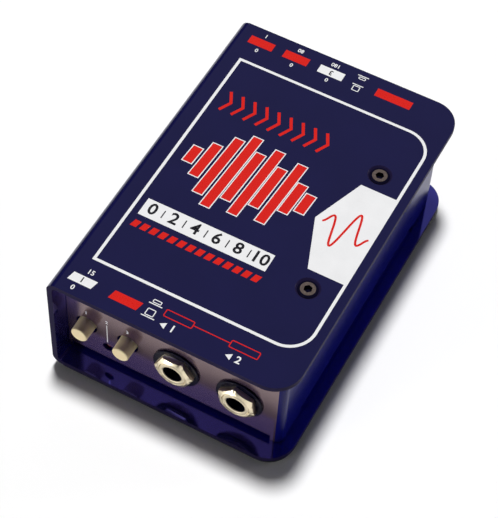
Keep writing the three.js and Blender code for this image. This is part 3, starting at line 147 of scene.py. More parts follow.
SCREW_RADIUS = 2.0 * MM
SCREW_KEY = 2.5 * MM
SCREW_FACE_RADIUS = 2.5 * MM
SCREW_SUNK = 0.5 * MM
SCREW_RIM = 0.1 * MM
SCREW_EDGE = 0.09 * MM
SCREW_TIP = 0.72
SCREW_CROWN = 0.3
KEY_FOOT = 0.2
KEY_DRILLED = 1.25
KEY_SHADE = 0.6
SCREW_TURNS = {
    "top_screw_front": 12,
    "top_screw_rear": 41,
    "bottom_screw_front": 5,
    "bottom_screw_rear": 0,
}
THREAD_PITCH = 0.7 * MM
THREAD_DEPTH = 0.22 * MM

BORE_RADIUS = 3.3 * MM
BORE_EDGE = 0.4 * MM
BUSH_RADIUS = 4.7 * MM
BUSH_TAIL = 4.0 * MM
BUSH_SHOULDER = 1.2 * MM
BUSH_EDGE = 0.2 * MM
BUSH_RIM = 0.35 * MM
LINING = 0.02 * MM
NUT_FACE_RADIUS = 5.2 * MM
NUT_FLATS = 12.0 * MM
NUT_GAP = 0.1 * MM
NUT_BORE_EDGE = 0.2 * MM
NUT_EDGE = 0.07 * MM
NUT_CHAMFER = math.radians(30)
NUT_TURNS = {"input": 4, "thru": 40}
HEX_START = 30
WASHER_GAP = 0.2 * MM
WASHER_EDGE = 0.25 * MM
WASHER_BACK_EDGE = 0.15 * MM

BUTTON_FACE_RADIUS = 2.95 * MM
BUTTON_EDGE = 0.55 * MM
BUTTON_SKIRT = 0.05 * MM
BUTTON_SOCKET_SIDE = 3.4 * MM
BUTTON_SOCKET_DEPTH = 5.0 * MM
DISH_RADIUS = 0.55 * BUTTON_FACE_RADIUS
DISH_FOOT_RADIUS = 0.3 * MM
DISH_DEPTH = 0.06 * MM

LED_RADIUS = 1.5 * MM
LED_RIM = 1.0 * MM
LED_BODY = 4.8 * MM
LED_STAND = 2.25 * MM
LEG_RADIUS = 0.4 * MM
LEG_SPREAD = 1.27 * MM
LEG_OVERLAP = 0.2 * MM
LEG_EDGE = 0.12 * MM

FLANGE_THICKNESS = 2.0 * MM
FLANGE_CORNER = 3.2 * MM
FLANGE_EDGE = 0.22 * MM
BARREL_RADIUS = 11.0 * MM
BARREL_LIP = 1.5 * MM
CUP_RADIUS = 8.2 * MM
CUP_DEPTH = 14.6 * MM
CUP_RIM = 0.6 * MM
KEYWAY_WIDTH = 2.6 * MM
KEYWAY_DEPTH = 1.1 * MM
INSERT_EDGE = 0.3 * MM
INSERT_HOLE_EDGE = 0.08 * MM
INSERT_DISH = 0.35 * MM
INSERT_DISH_RADIUS = 0.62
INSERT_FLOOR_RADIUS = 0.6
PIN_RADIUS = 1.2 * MM
PIN_GAP = 0.05 * MM
CONNECTOR_SCREW_RADIUS = 1.5 * MM
CONNECTOR_SCREW_RIM = 0.3 * MM
CONNECTOR_SCREW_SUNK = 0.15 * MM
CONNECTOR_SCREW_TURN = 25
CONNECTOR_KEY = 2.0 * MM


# ------------------------------------------------------------------ Modelling by hand

def deselect():
    bpy.ops.object.select_all(action="DESELECT")


def only(piece):
    """Makes this piece the one that is selected and active."""
    deselect()
    piece.select_set(True)
    bpy.context.view_layer.objects.active = piece
    return piece


def settled(piece):
    """Moves the place of the selected piece into its mesh."""
    bpy.ops.object.transform_apply(location=True, rotation=True, scale=True)
    return piece


def added(name):
    """Names the primitive that was just added and moves its place into its mesh."""
    piece = bpy.context.object
    piece.name = name
    piece.data.name = name
    return settled(piece)


def editing(piece):
    only(piece)
    bpy.ops.object.mode_set(mode="EDIT")


def done():
    bpy.ops.object.mode_set(mode="OBJECT")


def pick(piece, kind, test):
    """While editing, selects the vertices, edges or faces that pass a test, and nothing else."""
    bpy.ops.mesh.select_mode(type=kind)
    bpy.ops.mesh.select_all(action="DESELECT")
    shape = bmesh.from_edit_mesh(piece.data)
    parts = {"VERT": shape.verts, "EDGE": shape.edges, "FACE": shape.faces}[kind]
    for part in parts:
        if test(part):
            part.select_set(True)
    shape.select_flush_mode()
    bmesh.update_edit_mesh(piece.data)


def pick_all():
    bpy.ops.mesh.select_all(action="SELECT")


def merge_all(distance):
    """While editing, merges all the vertices that lie this close together."""
    pick_all()
    bpy.ops.mesh.remove_doubles(threshold=distance)


def round_picked(radius, steps, what="EDGES"):
    bpy.ops.mesh.bevel(offset=radius, segments=steps, affect=what)


def along(edge, axis):
    """Whether an edge runs along one axis, 0 for X, 1 for Y and 2 for Z."""
    run = edge.verts[1].co - edge.verts[0].co
    return abs(run[axis]) > ALONG * run.length


def block(name, low, high):
    low, high = Vector(low), Vector(high)
    deselect()
    bpy.ops.mesh.primitive_cube_add(size=1, location=(low + high) / 2, scale=high - low)
    return added(name)


def turned(name, profile, sides, bored=False):
    """A turned piece about Z from a profile of (radius, height). A solid one closes at both ends,
    and a bored one comes back to its first point."""
    radius, height = profile[0]
    ends = "NOTHING" if bored else "NGON"
    deselect()
    bpy.ops.mesh.primitive_circle_add(
        vertices=sides, radius=radius, fill_type=ends, location=(0, 0, height)
    )
    piece = added(name)
    editing(piece)
    bpy.ops.mesh.select_mode(type="VERT")
    pick_all()
    for next_radius, next_height in profile[1:] + ([profile[0]] if bored else []):
        rise = (0, 0, next_height - height)
        bpy.ops.mesh.extrude_region_move(TRANSFORM_OT_translate={"value": rise})
        growth = next_radius / radius
        bpy.ops.transform.resize(value=(growth, growth, 1), center_override=(0, 0, next_height))
        radius, height = next_radius, next_height
    merge_all(TURNED_DOUBLES)
    bpy.ops.mesh.normals_make_consistent(inside=False)
    done()
    return piece


def rounded(radius, edge, height, steps=6):
    """The points of a profile that round off an edge at a height, from the face out to the side."""
    points = []
    for step in range(steps + 1):
        angle = math.pi / 2 * step / steps
        out = radius - edge + edge * math.sin(angle)
        points.append((out, height - edge * (1 - math.cos(angle))))
    return points


def thread(first, second, start, stop):
    """The points of a profile for a thread drawn as rings, from one radius to the other."""
    points = []
    height = start
    while height < stop:
        points += [(first, height), (second, height + THREAD_PITCH / 2)]
        height += THREAD_PITCH
    return points


def corner_radius(flats):
    """The radius of a hexagon's corners, from its size across the flats."""
    return flats / 2 / math.cos(math.pi / HEXAGON)


def placed(piece, place, tilt=0, turn=0):
    """Turns a piece about its own axis, tips it about X and moves it, all in its mesh."""
    only(piece)
    piece.matrix_world = (
        Matrix.Translation(place)
        @ Matrix.Rotation(math.radians(tilt), 4, "X")
        @ Matrix.Rotation(math.radians(turn), 4, "Z")
    )
    return settled(piece)


def with_modifier(piece, kind, **settings):
    only(piece)
    modifier = piece.modifiers.new(kind.title(), kind)
    for setting, value in settings.items():
        setattr(modifier, setting, value)
    bpy.ops.object.modifier_apply(modifier=modifier.name)
    return piece


def bitten(piece, *tools, how="DIFFERENCE"):
    """Cuts tools out of a piece, or joins or crosses them, and throws the tools away."""
    for tool in tools:
        with_modifier(piece, "BOOLEAN", operation=how, object=tool, solver="EXACT")
        bpy.data.objects.remove(tool)
    return piece


def edges_broken(piece, width=EDGE_BREAK, steps=3):
    """Rounds every sharp edge a little, and keeps the flat faces flat in the light."""
    with_modifier(
        piece, "BEVEL", width=width, segments=steps, limit_method="ANGLE", angle_limit=SHARP_ANGLE
    )
    return smooth(piece)


def smooth(piece):
    """Shades the rounds smooth, and keeps each flat face along an axis flat up to its edges."""
    only(piece)
    bpy.ops.object.shade_smooth_by_angle(angle=SHARP_ANGLE)
    for axis in range(3):
        editing(piece)
        pick(piece, "FACE", lambda face: abs(face.normal[axis]) > FLAT_FACING)
        bpy.ops.mesh.region_to_loop()
        bpy.ops.mesh.mark_sharp()
        done()
    return with_modifier(piece, "WEIGHTED_NORMAL", keep_sharp=True)


def copied(piece, name):
    only(piece)
    bpy.ops.object.duplicate()
    return added(name)


def joined(name, pieces):
    """Several pieces made one, under one name."""
    whole = only(pieces[0])
    for piece in pieces[1:]:
        piece.select_set(True)
    bpy.ops.object.join()
    whole.name = name
    return whole


def dressed(piece, body, slot, finish, *nodes):
    """A finished piece: its body, the finish it takes and the nodes that it stands for."""
    piece.data.materials.clear()
    piece.data.materials.append(finish)
    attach(piece, body)
    if nodes:
        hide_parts(*nodes)
    return piece


def paint_faces(piece, index, test):
    """Gives the faces that pass a test the finish with this number."""
    editing(piece)
    pick(piece, "FACE", test)
    piece.active_material_index = index
    bpy.ops.object.material_slot_assign()
    done()


def dressed_twice(piece, finish, test):
    """Gives a dressed piece a second finish, on the faces that pass a test."""
    piece.data.materials.append(finish)
    paint_faces(piece, 1, test)


# ------------------------------------------------------------------ How a finish is made

# The places of a Mix node's colour sockets, whose names it has more than once.
MIX_FACTOR = 0
MIX_FIRST = 6
MIX_SECOND = 7
MIX_RESULT = 2


class Value:
    """A socket that carries a number over a surface, with the sums a finish needs."""

    def __init__(self, finish, socket):
        self.finish = finish
        self.socket = socket

    def math(self, operation, *terms):
        inputs = dict(enumerate(terms))
        return self.finish.node("ShaderNodeMath", {"operation": operation}, inputs)

    def __add__(self, other):
        return self.math("ADD", self, other)

    def __sub__(self, other):
        return self.math("SUBTRACT", self, other)

    def __rsub__(self, other):
        return self.math("SUBTRACT", other, self)

    def __mul__(self, other):
        return self.math("MULTIPLY", self, other)

    __radd__ = __add__
    __rmul__ = __mul__

    def __gt__(self, other):
        return self.math("GREATER_THAN", self, other)

    def __lt__(self, other):
        return self.math("LESS_THAN", self, other)

    def __abs__(self):
        return self.math("ABSOLUTE", self)

    def sine(self):
        return self.math("SINE", self)

    def clamped(self):
        return self.math("MINIMUM", self.math("MAXIMUM", self, 0), 1)


class Finish:
    """A finish under way: its nodes are made by node(), and shader() closes it."""

    def __init__(self, name):
        self.material = bpy.data.materials.new(name)
        self.material.use_nodes = True
        self.tree = self.material.node_tree
        self.tree.nodes.clear()
        self.place = self.node("ShaderNodeTexCoord", {}, {}, "Object")

    def node(self, kind, settings, inputs, output=0):
        """Makes any node: its settings first, then the values or links of its sockets. A colour is
        given as red, green and blue."""
        made = self.tree.nodes.new(kind)
        for setting, value in settings.items():
            setattr(made, setting, value)
        for name, value in inputs.items():
            socket = made.inputs[name]
            if isinstance(value, Value):
                self.tree.links.new(value.socket, socket)
            elif socket.type == "RGBA":
                socket.default_value = (*value, 1.0)
            else:
                socket.default_value = value
        return Value(self, made.outputs[output]) if made.outputs else None

    def noise(self, size, detail=2.0, stretch=(1, 1, 1)):
        """Cloudy noise about 0.5 whose clouds are about so many metres across."""
        moved = self.node("ShaderNodeMapping", {}, {"Vector": self.place, "Scale": stretch})
        inputs = {"Vector": moved, "Scale": 1 / size, "Detail": detail}
        return self.node("ShaderNodeTexNoise", {}, inputs)

    def axis(self, name):
        return self.node("ShaderNodeSeparateXYZ", {}, {"Vector": self.place}, name)

    def mixed(self, factor, first, second):
        """From the first colour, at 0, to the second, at 1."""
        inputs = {MIX_FACTOR: factor, MIX_FIRST: first, MIX_SECOND: second}
        return self.node("ShaderNodeMix", {"data_type": "RGBA"}, inputs, MIX_RESULT)

    def bumped(self, height, depth, strength):
        inputs = {"Height": height, "Distance": depth, "Strength": strength}
        return self.node("ShaderNodeBump", {}, inputs)

    def shader(self, **sockets):
        """The shader itself. A socket's name is written with _ for a space."""
        inputs = {}
        for name, value in sockets.items():
            inputs["IOR" if name == "ior" else name.replace("_", " ").title()] = value
        surface = self.node("ShaderNodeBsdfPrincipled", {}, inputs, "BSDF")
        self.node("ShaderNodeOutputMaterial", {}, {"Surface": surface})
        return self.material


TINNED = (0.62, 0.61, 0.58)
TINNED_ROUGHNESS = 0.30


def legs_in_metal(plastic, colour, rough, foot):
    """A component in one piece: tinned below its foot, and its own finish above it."""
    low = plastic.axis("Z") < foot
    base = plastic.mixed(low, colour, TINNED)
    return base, rough + low * (TINNED_ROUGHNESS - rough), low


def plain_finish(
    name, shades, cloud, rough, depth, strength=0.3, grain=None, relief=None, foot=None, **shine
):
    """A finish of one stuff, made of noises that are each a size and a detail. The cloud runs from
    one shade to the other. The grain, or else the cloud, adds to the roughness, which is its least
    value and its spread. The relief, or else the grain, is raised. Below a foot it is tinned."""
    stuff = Finish(name)
    clouds = stuff.noise(*cloud)
    grains = stuff.noise(*grain) if grain else clouds
    raised = stuff.noise(*relief) if relief else grains
    colour = stuff.mixed(clouds, *shades)
    least, spread = rough
    roughness = least + spread * grains
    if foot:
        colour, roughness, shine["metallic"] = legs_in_metal(stuff, colour, roughness, foot)
    normal = stuff.bumped(raised, depth, strength)
    return stuff.shader(base_color=colour, roughness=roughness, normal=normal, **shine)


# ------------------------------------------------------------------ Finishes of the casing

def satin_enamel():
    """The printed face of the sleeve: fine satin enamel, a little uneven from the spray."""
    paint = Finish("satin_navy_enamel")
    cloud = paint.noise(14 * MM, 3)
    grain = paint.noise(0.35 * MM)
    colour = paint.mixed(cloud, (0.0035, 0.0035, 0.042), (0.0055, 0.005, 0.054))
    rough = 0.15 + 0.05 * grain + 0.03 * cloud
    height = grain * 0.6 + paint.noise(2.2 * MM) * 0.4
    normal = paint.bumped(height, 0.008 * MM, 0.3)
    return paint.shader(base_color=colour, roughness=rough, normal=normal, ior=1.45)


def gloss_enamel():
    """The bare enamel: a deep, wet metal-flake blue over a faint orange peel."""
    return plain_finish(
        "gloss_navy_enamel",
        ((0.080, 0.078, 0.46), (0.094, 0.090, 0.54)),
        cloud=(20 * MM, 2),
        grain=(1.2 * MM, 2),
        rough=(0.05, 0.04),
        relief=(2.6 * MM, 1),
        depth=0.006 * MM,
        metallic=0.88,
        ior=1.6,
        specular_tint=(0.70, 0.65, 0.90),
        coat_weight=0.15,
        coat_roughness=0.03,
    )


def side_enamel():
    """The chassis round its bends and along its sides: deep blue with a quieter gloss, its warm
    tint a painted reflection.
    """
    return plain_finish(
        "deep_blue_side_enamel_warm_reflection",
        ((0.0025, 0.003, 0.080), (0.004, 0.005, 0.115)),
        cloud=(24 * MM, 2),
        grain=(1.6 * MM, 2),
        rough=(0.14, 0.06),
        relief=(3.0 * MM, 1),
        depth=0.006 * MM,
        ior=1.16,
        specular_tint=(1.0, 0.74, 0.60),
    )


def chassis_enamel():
    """The chassis's two panels: navy enamel whose colour is shifted to mauve and whose shine is
    tinted warm, a painted warm reflection.
    """
    return plain_finish(
        "navy_enamel_painted_warm_reflection",
        ((0.051, 0.032, 0.052), (0.061, 0.038, 0.064)),
        cloud=(16 * MM, 2),
        grain=(1.6 * MM, 2),
        rough=(0.16, 0.06),
        relief=(3.4 * MM, 1),
        depth=0.006 * MM,
        ior=2.2,
        specular_tint=(1.0, 0.68, 0.61),
    )


def edge_enamel():
    """The sheet's cut edges, where the enamel is thin over the steel: a dull navy, its brownish
    tone a painted warm reflection.
    """
    return plain_finish(
        "thin_edge_enamel_warm_reflection",
        ((0.012, 0.009, 0.036), (0.020, 0.015, 0.052)),
        cloud=(5 * MM, 3),
        grain=(0.8 * MM, 2),
        rough=(0.34, 0.12),
        relief=(5 * MM, 3),
        depth=0.01 * MM,
        ior=1.08,
    )


def ink(name, dark, light):
    """Screen ink: flat colour with the faint tooth of the mesh it came through."""
    return plain_finish(
        name,
        (dark, light),
        cloud=(5 * MM, 3),
        grain=(0.25 * MM, 1),
        rough=(0.24, 0.08),
        depth=0.004 * MM,
        ior=1.4,
    )


def plated(name, dull, bright, shine):
    """Plated metal, turned: fine rings of tool marks run round with the bar it was cut from."""
    metal = Finish(name)
    cloud = metal.noise(1.6 * MM, 4)
    scratch = metal.noise(0.12 * MM, 2, (1, 1, 8))
    colour = metal.mixed(cloud, dull, bright)
    rough = shine + 0.10 * scratch + 0.05 * cloud
    normal = metal.bumped(scratch, 0.004 * MM, 0.4)
    return metal.shader(base_color=colour, roughness=rough, normal=normal, metallic=1.0)


def oiled_steel():
    """Black oxide on the screws, oily and a little worn. Its dark bronze colour is a painted sheen,
    in place of the soft box's reflection, which is kept off them.
    """
    metal = Finish("oiled_black_steel_painted_sheen")
    cloud = metal.noise(0.9 * MM, 4)
    wear = (metal.noise(0.5 * MM, 5) - 0.52).clamped() * 6.0
    colour = metal.mixed(cloud, (0.105, 0.080, 0.072), (0.17, 0.13, 0.115))
    worn = metal.mixed(wear.clamped() * 0.35, colour, (0.34, 0.28, 0.24))
    rough = 0.28 + 0.14 * cloud
    normal = metal.bumped(cloud, 0.012 * MM, 0.4)
    return metal.shader(base_color=worn, roughness=rough, normal=normal, metallic=0.35)


def black_lacquer_and_painted_shade():
    """The black of the washers, also painted as shade on the screws' rims and keys and in the
    jacks' bores: smooth, its faint blue a painted reflection of the enamel.
    """
    return plain_finish(
        "black_lacquer_and_painted_shade",
        ((0.003, 0.003, 0.011), (0.006, 0.005, 0.019)),
        cloud=(1.6 * MM, 2),
        rough=(0.20, 0.12),
        relief=(0.9 * MM, 3),
        depth=0.01 * MM,
        ior=1.2,
    )


def cream_moulding():
    """Cream caps: warm moulded plastic with soft flow marks and a fine skin."""
    return plain_finish(
        "cream_moulding",
        ((0.92, 0.755, 0.43), (0.96, 0.80, 0.48)),
        cloud=(2.4 * MM, 3, (1, 0.35, 1)),
        grain=(0.18 * MM, 2),
        rough=(0.34, 0.14),
        depth=0.012 * MM,
        strength=0.35,
        ior=1.48,
    )


def lamp_resin():
    """Dark red resin, a little cloudy."""
    return plain_finish(
        "red_lamp_resin",
        ((0.060, 0.004, 0.004), (0.13, 0.010, 0.008)),
        cloud=(0.8 * MM, 3),
        rough=(0.07, 0.06),
        depth=0.01 * MM,
        strength=0.2,
        ior=1.55,
        coat_weight=0.6,
    )


def sheet_rubber():
    """Matt sheet rubber, with the weave of the cloth it was pressed on."""
    rubber = Finish("pressed_sheet_rubber")
    ribs = 420.0
    across = abs(rubber.axis("X") * ribs - rubber.noise(30 * MM) * 0.4)
    squares = {"Vector": rubber.place, "Scale": 1 / (0.9 * MM)}
    weave = rubber.node("ShaderNodeTexChecker", {}, squares, "Fac")
    dust = rubber.noise(6 * MM, 4)
    colour = rubber.mixed(dust, (0.010, 0.010, 0.011), (0.024, 0.023, 0.023))
    height = weave * 0.6 + rubber.noise(0.4 * MM) * 0.4 + across.sine() * 0.1
    normal = rubber.bumped(height, 0.05 * MM, 0.5)
    return rubber.shader(base_color=colour, roughness=0.78 + 0.14 * dust, normal=normal)


# ------------------------------------------------------------------ Finishes of what is inside

def black_moulding(name, shine, grain_size):
    """Black nylon: nearly black, with a fine spark-eroded grain."""
    return plain_finish(
        name,
        ((0.006, 0.006, 0.008), (0.013, 0.013, 0.016)),
        cloud=(9 * MM, 2),
        grain=(grain_size, 3),
        rough=(shine, 0.16),
        depth=0.02 * MM,
        strength=0.4,
        ior=1.5,
    )


def white_acetal():
    """The plungers of the switches: white and slightly waxy."""
    return plain_finish(
        "white_acetal",
        ((0.62, 0.60, 0.54), (0.74, 0.72, 0.66)),
        cloud=(0.4 * MM, 3),
        rough=(0.36, 0.16),
        depth=0.015 * MM,
    )


def switch_moulding():
    """The switch bodies: charcoal nylon with tinned pins under the board's face."""
    return plain_finish(
        "charcoal_switch_nylon",
        ((0.010, 0.010, 0.012), (0.020, 0.020, 0.023)),
        cloud=(0.35 * MM, 3),
        rough=(0.46, 0.16),
        depth=0.02 * MM,
        strength=0.4,
        foot=BOARD_TOP,
    )


def dipped_film():
    """A film capacitor dipped in red resin, glossy and slightly lumpy."""
    return plain_finish(
        "red_dipped_film",
        ((0.21, 0.020, 0.012), (0.33, 0.036, 0.020)),
        cloud=(3.0 * MM, 3),
        rough=(0.22, 0.12),
        depth=0.12 * MM,
        strength=0.5,
        foot=BOARD_TOP,
    )


def moulded_chip(name, stand):
    """Black epoxy from so far above the board, tinned legs below."""
    return plain_finish(
        name,
        ((0.012, 0.012, 0.013), (0.026, 0.026, 0.028)),
        cloud=(0.3 * MM, 3),
        rough=(0.52, 0.14),
        depth=0.02 * MM,
        strength=0.5,
        foot=BOARD_TOP + stand,
    )


def board_resist():
    """Green resist over copper: tracks show through as paler bands, pads as bright dots."""
    board = Finish("green_solder_resist")
    tracks = {
        "Vector": board.place,
        "Scale": 1 / (5.2 * MM),
        "Mortar Size": 0.06,
        "Brick Width": 1.3,
        "Row Height": 0.42,
    }
    lane = board.node("ShaderNodeTexBrick", {"offset": 0.37, "squash": 1.6}, tracks, "Fac")
    glass = board.noise(0.5 * MM, 2, (1, 3, 1))
    resist = board.mixed(glass, (0.008, 0.075, 0.028), (0.012, 0.105, 0.040))
    colour = board.mixed(lane * 0.8, resist, (0.030, 0.20, 0.075))
    pads = {"Vector": board.place, "Scale": 1 / (4.4 * MM)}
    dots = board.node("ShaderNodeTexVoronoi", {}, pads, "Distance") < 0.11
    tinned = board.mixed(dots, colour, (0.60, 0.59, 0.55))
    rough = 0.28 + 0.14 * glass
    normal = board.bumped(lane * 0.5 + glass * 0.2, 0.04 * MM, 0.5)
    return board.shader(base_color=tinned, roughness=rough, normal=normal, metallic=dots * 0.9)


def capacitor_sleeve(node):
    """A shrunk blue sleeve with a pale stripe down one side, over an aluminium top."""
    _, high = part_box(node)
    sleeve = Finish("blue_capacitor_sleeve")
    stripe = sleeve.axis("X") < middle(node).x - 3.2 * MM
    skin = sleeve.noise(0.7 * MM, 3)
    blue = sleeve.mixed(skin, (0.010, 0.028, 0.115), (0.016, 0.042, 0.165))
    banded = sleeve.mixed(stripe, blue, (0.50, 0.53, 0.56))
    rim = sleeve.axis("Z") > high.z - 0.15 * MM
    capped = sleeve.mixed(rim, banded, (0.62, 0.62, 0.62))
    base, rough, low = legs_in_metal(sleeve, capped, 0.34 + 0.1 * skin, BOARD_TOP)
    normal = sleeve.bumped(skin, 0.02 * MM, 0.4)
    metal = (low + rim).clamped()
    return sleeve.shader(base_color=base, roughness=rough, normal=normal, metallic=metal)


def wound_ferrite():
    """A grey ferrite bobbin, with rows of copper wire between its rims."""
    _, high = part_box("supply_coil")
    rim = 1.5 * MM
    wire = 0.32 * MM
    ferrite = Finish("wound_ferrite_bobbin")
    height = ferrite.axis("Z")
    wound = (height > BOARD_TOP + rim) * (height < high.z - rim)
    turns = (height * (2 * math.pi / wire)).sine()
    grain = ferrite.noise(0.4 * MM, 3)
    grey = ferrite.mixed(grain, (0.030, 0.030, 0.032), (0.060, 0.058, 0.058))
    copper = ferrite.mixed(grain, (0.38, 0.13, 0.04), (0.56, 0.22, 0.075))
    colour = ferrite.mixed(wound, grey, copper)
    base, rough, legs = legs_in_metal(ferrite, colour, 0.55 + 0.2 * grain, BOARD_TOP)
    normal = ferrite.bumped(turns * wound + grain * 0.2, 0.08 * MM, 0.6)
    metal = (wound * 0.8 + legs).clamped()
    return ferrite.shader(base_color=base, roughness=rough, normal=normal, metallic=metal)


# ------------------------------------------------------------------ Camera, floor and light

CAMERA_PLACE = (0.14163, -0.31033, 0.48423)
CAMERA_HEADING = 25.086
CAMERA_TIP = 35.732
CAMERA_ROLL = 3.761
CAMERA_LENS = 120.73
CAMERA_SENSOR = 36
CAMERA_NEAR = 0.01
CAMERA_FAR = 20

FLOOR_SIZE = 6.0
FLOOR_DROP = 0.02 * MM

KEY_POWER = 87
KEY_SIZE = (0.40, 0.53)
KEY_FROM = (-0.275, 0.40, 3.0)
WORLD_STRENGTH = 0.025

# The fills: where each one shines from, its strength and how wide it is in degrees.
FILLS = {
    "front_fill": ((-0.6, -1.0, 0.022), 1.8, 14),
    "side_fill": ((1.0, 1.0, 0.035), 2.0, 12),
    "soft_box": ((-0.25, -0.446, 0.857), 0.03, 11),
    "back_card": ((-0.30, 0.62, 0.72), 0.10, 40),
}


def add_camera():
    deselect()
    bpy.ops.object.camera_add()
    camera = bpy.context.object
    camera.name = "photo_camera"
    camera.matrix_world = (
        Matrix.Translation(CAMERA_PLACE)
        @ Matrix.Rotation(math.radians(CAMERA_HEADING), 4, "Z")
        @ Matrix.Rotation(math.radians(CAMERA_TIP), 4, "X")
        @ Matrix.Rotation(math.radians(CAMERA_ROLL), 4, "Z")
    )
    camera.data.lens = CAMERA_LENS
    camera.data.sensor_width = CAMERA_SENSOR
    camera.data.sensor_fit = "AUTO"
    camera.data.clip_start = CAMERA_NEAR
    camera.data.clip_end = CAMERA_FAR
    bpy.context.scene.camera = camera


def add_floor():
    deselect()
    bpy.ops.mesh.primitive_plane_add(size=FLOOR_SIZE, location=(0, 0, -FLOOR_DROP))
    floor = added("studio_floor")
    card = Finish("white_studio_card")
    colour = card.mixed(card.noise(0.3), (0.985, 0.985, 0.985), (1.0, 1.0, 1.0))
    floor.data.materials.append(card.shader(base_color=colour, roughness=0.95, ior=1.02))


def add_light(name, kind, shines_from):
    """A light that shines from its place to the middle of the floor."""
    deselect()
    bpy.ops.object.light_add(type=kind, location=shines_from)
    light = bpy.context.object
    light.name = name
    light.rotation_euler = Vector(shines_from).to_track_quat("Z", "Y").to_euler()
    return light


def light_the_studio():
    """The main soft box hangs over the box and a little behind it. Its own mirror image is kept
    off the enamel, and the fills give the shine."""
    key = add_light("key_soft_box", "AREA", KEY_FROM)
    key.data.shape = "ELLIPSE"
    key.data.size, key.data.size_y = KEY_SIZE
    key.data.energy = KEY_POWER
    key.visible_glossy = False
    for name, (shines_from, strength, width) in FILLS.items():
        sun = add_light(name, "SUN", shines_from)
        sun.data.energy = strength
        sun.data.angle = math.radians(width)
    world = bpy.data.worlds.new("soft_studio")
    world.use_nodes = True
    background = world.node_tree.nodes["Background"]
    background.inputs["Color"].default_value = (1, 1, 1, 1)
    background.inputs["Strength"].default_value = WORLD_STRENGTH
    bpy.context.scene.world = world


# ------------------------------------------------------------------ Sleeve and chassis

def screw_hole(place, head_radius, radius, depth, tilt=0):
    """A tool for a countersunk hole, from a face down its own -Z."""
    profile = [
        (radius + HOLE_GAP, -depth - OVERCUT),
        (radius + HOLE_GAP, radius - head_radius),
        (head_radius + HOLE_GAP, 0),
        (head_radius + HOLE_GAP, OVERCUT),
    ]
    return placed(turned("screw_hole", profile, TURNED_SIDES), place, tilt)


def near_a_screw():
    """A test of faces: whether one belongs to the holes that the sleeve's screws sit in."""
    spots = [middle(f"top_screw_{end}").xy for end in ENDS]
    reach = half_width_of("top_screw_front") + HOLE_GAP + 2 * EDGE_BREAK

    def is_near(face, spot):
        return all(math.dist(vert.co.xy, spot) < reach for vert in face.verts)

    return lambda face: any(is_near(face, spot) for spot in spots)


def make_sleeve(*finishes):
    """The wrap-round sleeve: a block opened at three sides, folded, rounded and given its sheet.
    Its finishes are those of its outside, its inside and its edges."""
    low, high = SLEEVE_LOW, SLEEVE_HIGH
    sleeve = block("sleeve", low, high)
    editing(sleeve)
    pick(sleeve, "FACE", lambda face: face.normal.x > FACING or abs(face.normal.y) > FACING)
    bpy.ops.mesh.delete(type="FACE")
    pick(sleeve, "EDGE", lambda edge: along(edge, 1) and edge.verts[0].co.x < 0)
    round_picked(SLEEVE_BEND, BEND_STEPS)
    pick(sleeve, "VERT", lambda vert: vert.co.x > high.x - OVERCUT)
    round_picked(PLATE_CORNER, CORNER_STEPS, "VERTICES")
    done()
    for finish in finishes:
        sleeve.data.materials.append(finish)
    with_modifier(
        sleeve,
        "SOLIDIFY",
        thickness=SHEET,
        offset=-1,
        use_even_offset=True,
        material_offset=1,
        material_offset_rim=EDGE_SLOT,
    )
    for end in ENDS:
        centre = middle(f"top_screw_{end}")
        radius = half_width_of(f"top_screw_{end}")
        for height, tilt in ((high.z, 0), (low.z, FACING_DOWN)):
            place = (centre.x, centre.y, height)
            bitten(sleeve, screw_hole(place, radius, SCREW_RADIUS, SHEET, tilt))
    edges_broken(sleeve)
    paint_faces(sleeve, EDGE_SLOT, near_a_screw())
    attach(sleeve, "case")
    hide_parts("outer_shell")


def make_chassis(panel_finish, side_finish):
    """The chassis, its flat facets joined up, its two panels in the finish with the painted warm
    reflection and its bends and sides in the deep blue one.
    """
    chassis = copied(frame["nodes"]["inner_chassis"], "chassis")
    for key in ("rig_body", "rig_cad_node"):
        if key in chassis:
            del chassis[key]
    editing(chassis)
    merge_all(CHASSIS_DOUBLES)
    bpy.ops.mesh.dissolve_limited(angle_limit=FLAT_ANGLE)
    done()
    smooth(chassis)
    dressed(chassis, "case", "blue_enamel", panel_finish, "inner_chassis")
    dressed_twice(chassis, side_finish, lambda face: abs(face.normal.y) < PANEL_FACING)


def make_pad(finish):
    """The rubber pad: a rounded sheet with a hole round each screw."""
    low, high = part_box("no_slip_pad")
    right = high.x - OVERCUT
    pad = block("rubber_pad", low, high)
    editing(pad)
    pick(pad, "EDGE", lambda edge: along(edge, 2) and edge.verts[0].co.x < 0)
    round_picked(SLEEVE_BEND, BEND_STEPS)
    pick(pad, "EDGE", lambda edge: along(edge, 2) and edge.verts[0].co.x > right)
    round_picked(PAD_CORNER, CORNER_STEPS)
    done()
    for end in ENDS:
        centre = middle(f"bottom_screw_{end}")
        profile = [(PAD_HOLE_RADIUS, -OVERCUT), (PAD_HOLE_RADIUS, high.z + OVERCUT)]
        hole = turned("pad_hole", profile, TURNED_SIDES)
        bitten(pad, placed(hole, (centre.x, centre.y, 0)))
    edges_broken(pad, PAD_EDGE)
    dressed(pad, "case", "black_rubber", finish, "no_slip_pad")


# ------------------------------------------------------------------ Screws

def hexagon_key(across, depth):
    """A tool for a hexagon socket, from z = 0 down, with a cone at its foot as drilled."""
    radius = corner_radius(across)
    foot = (radius * KEY_FOOT, -depth * KEY_DRILLED)
    return turned("key_tool", [foot, (radius, -depth), (radius, OVERCUT)], HEXAGON)


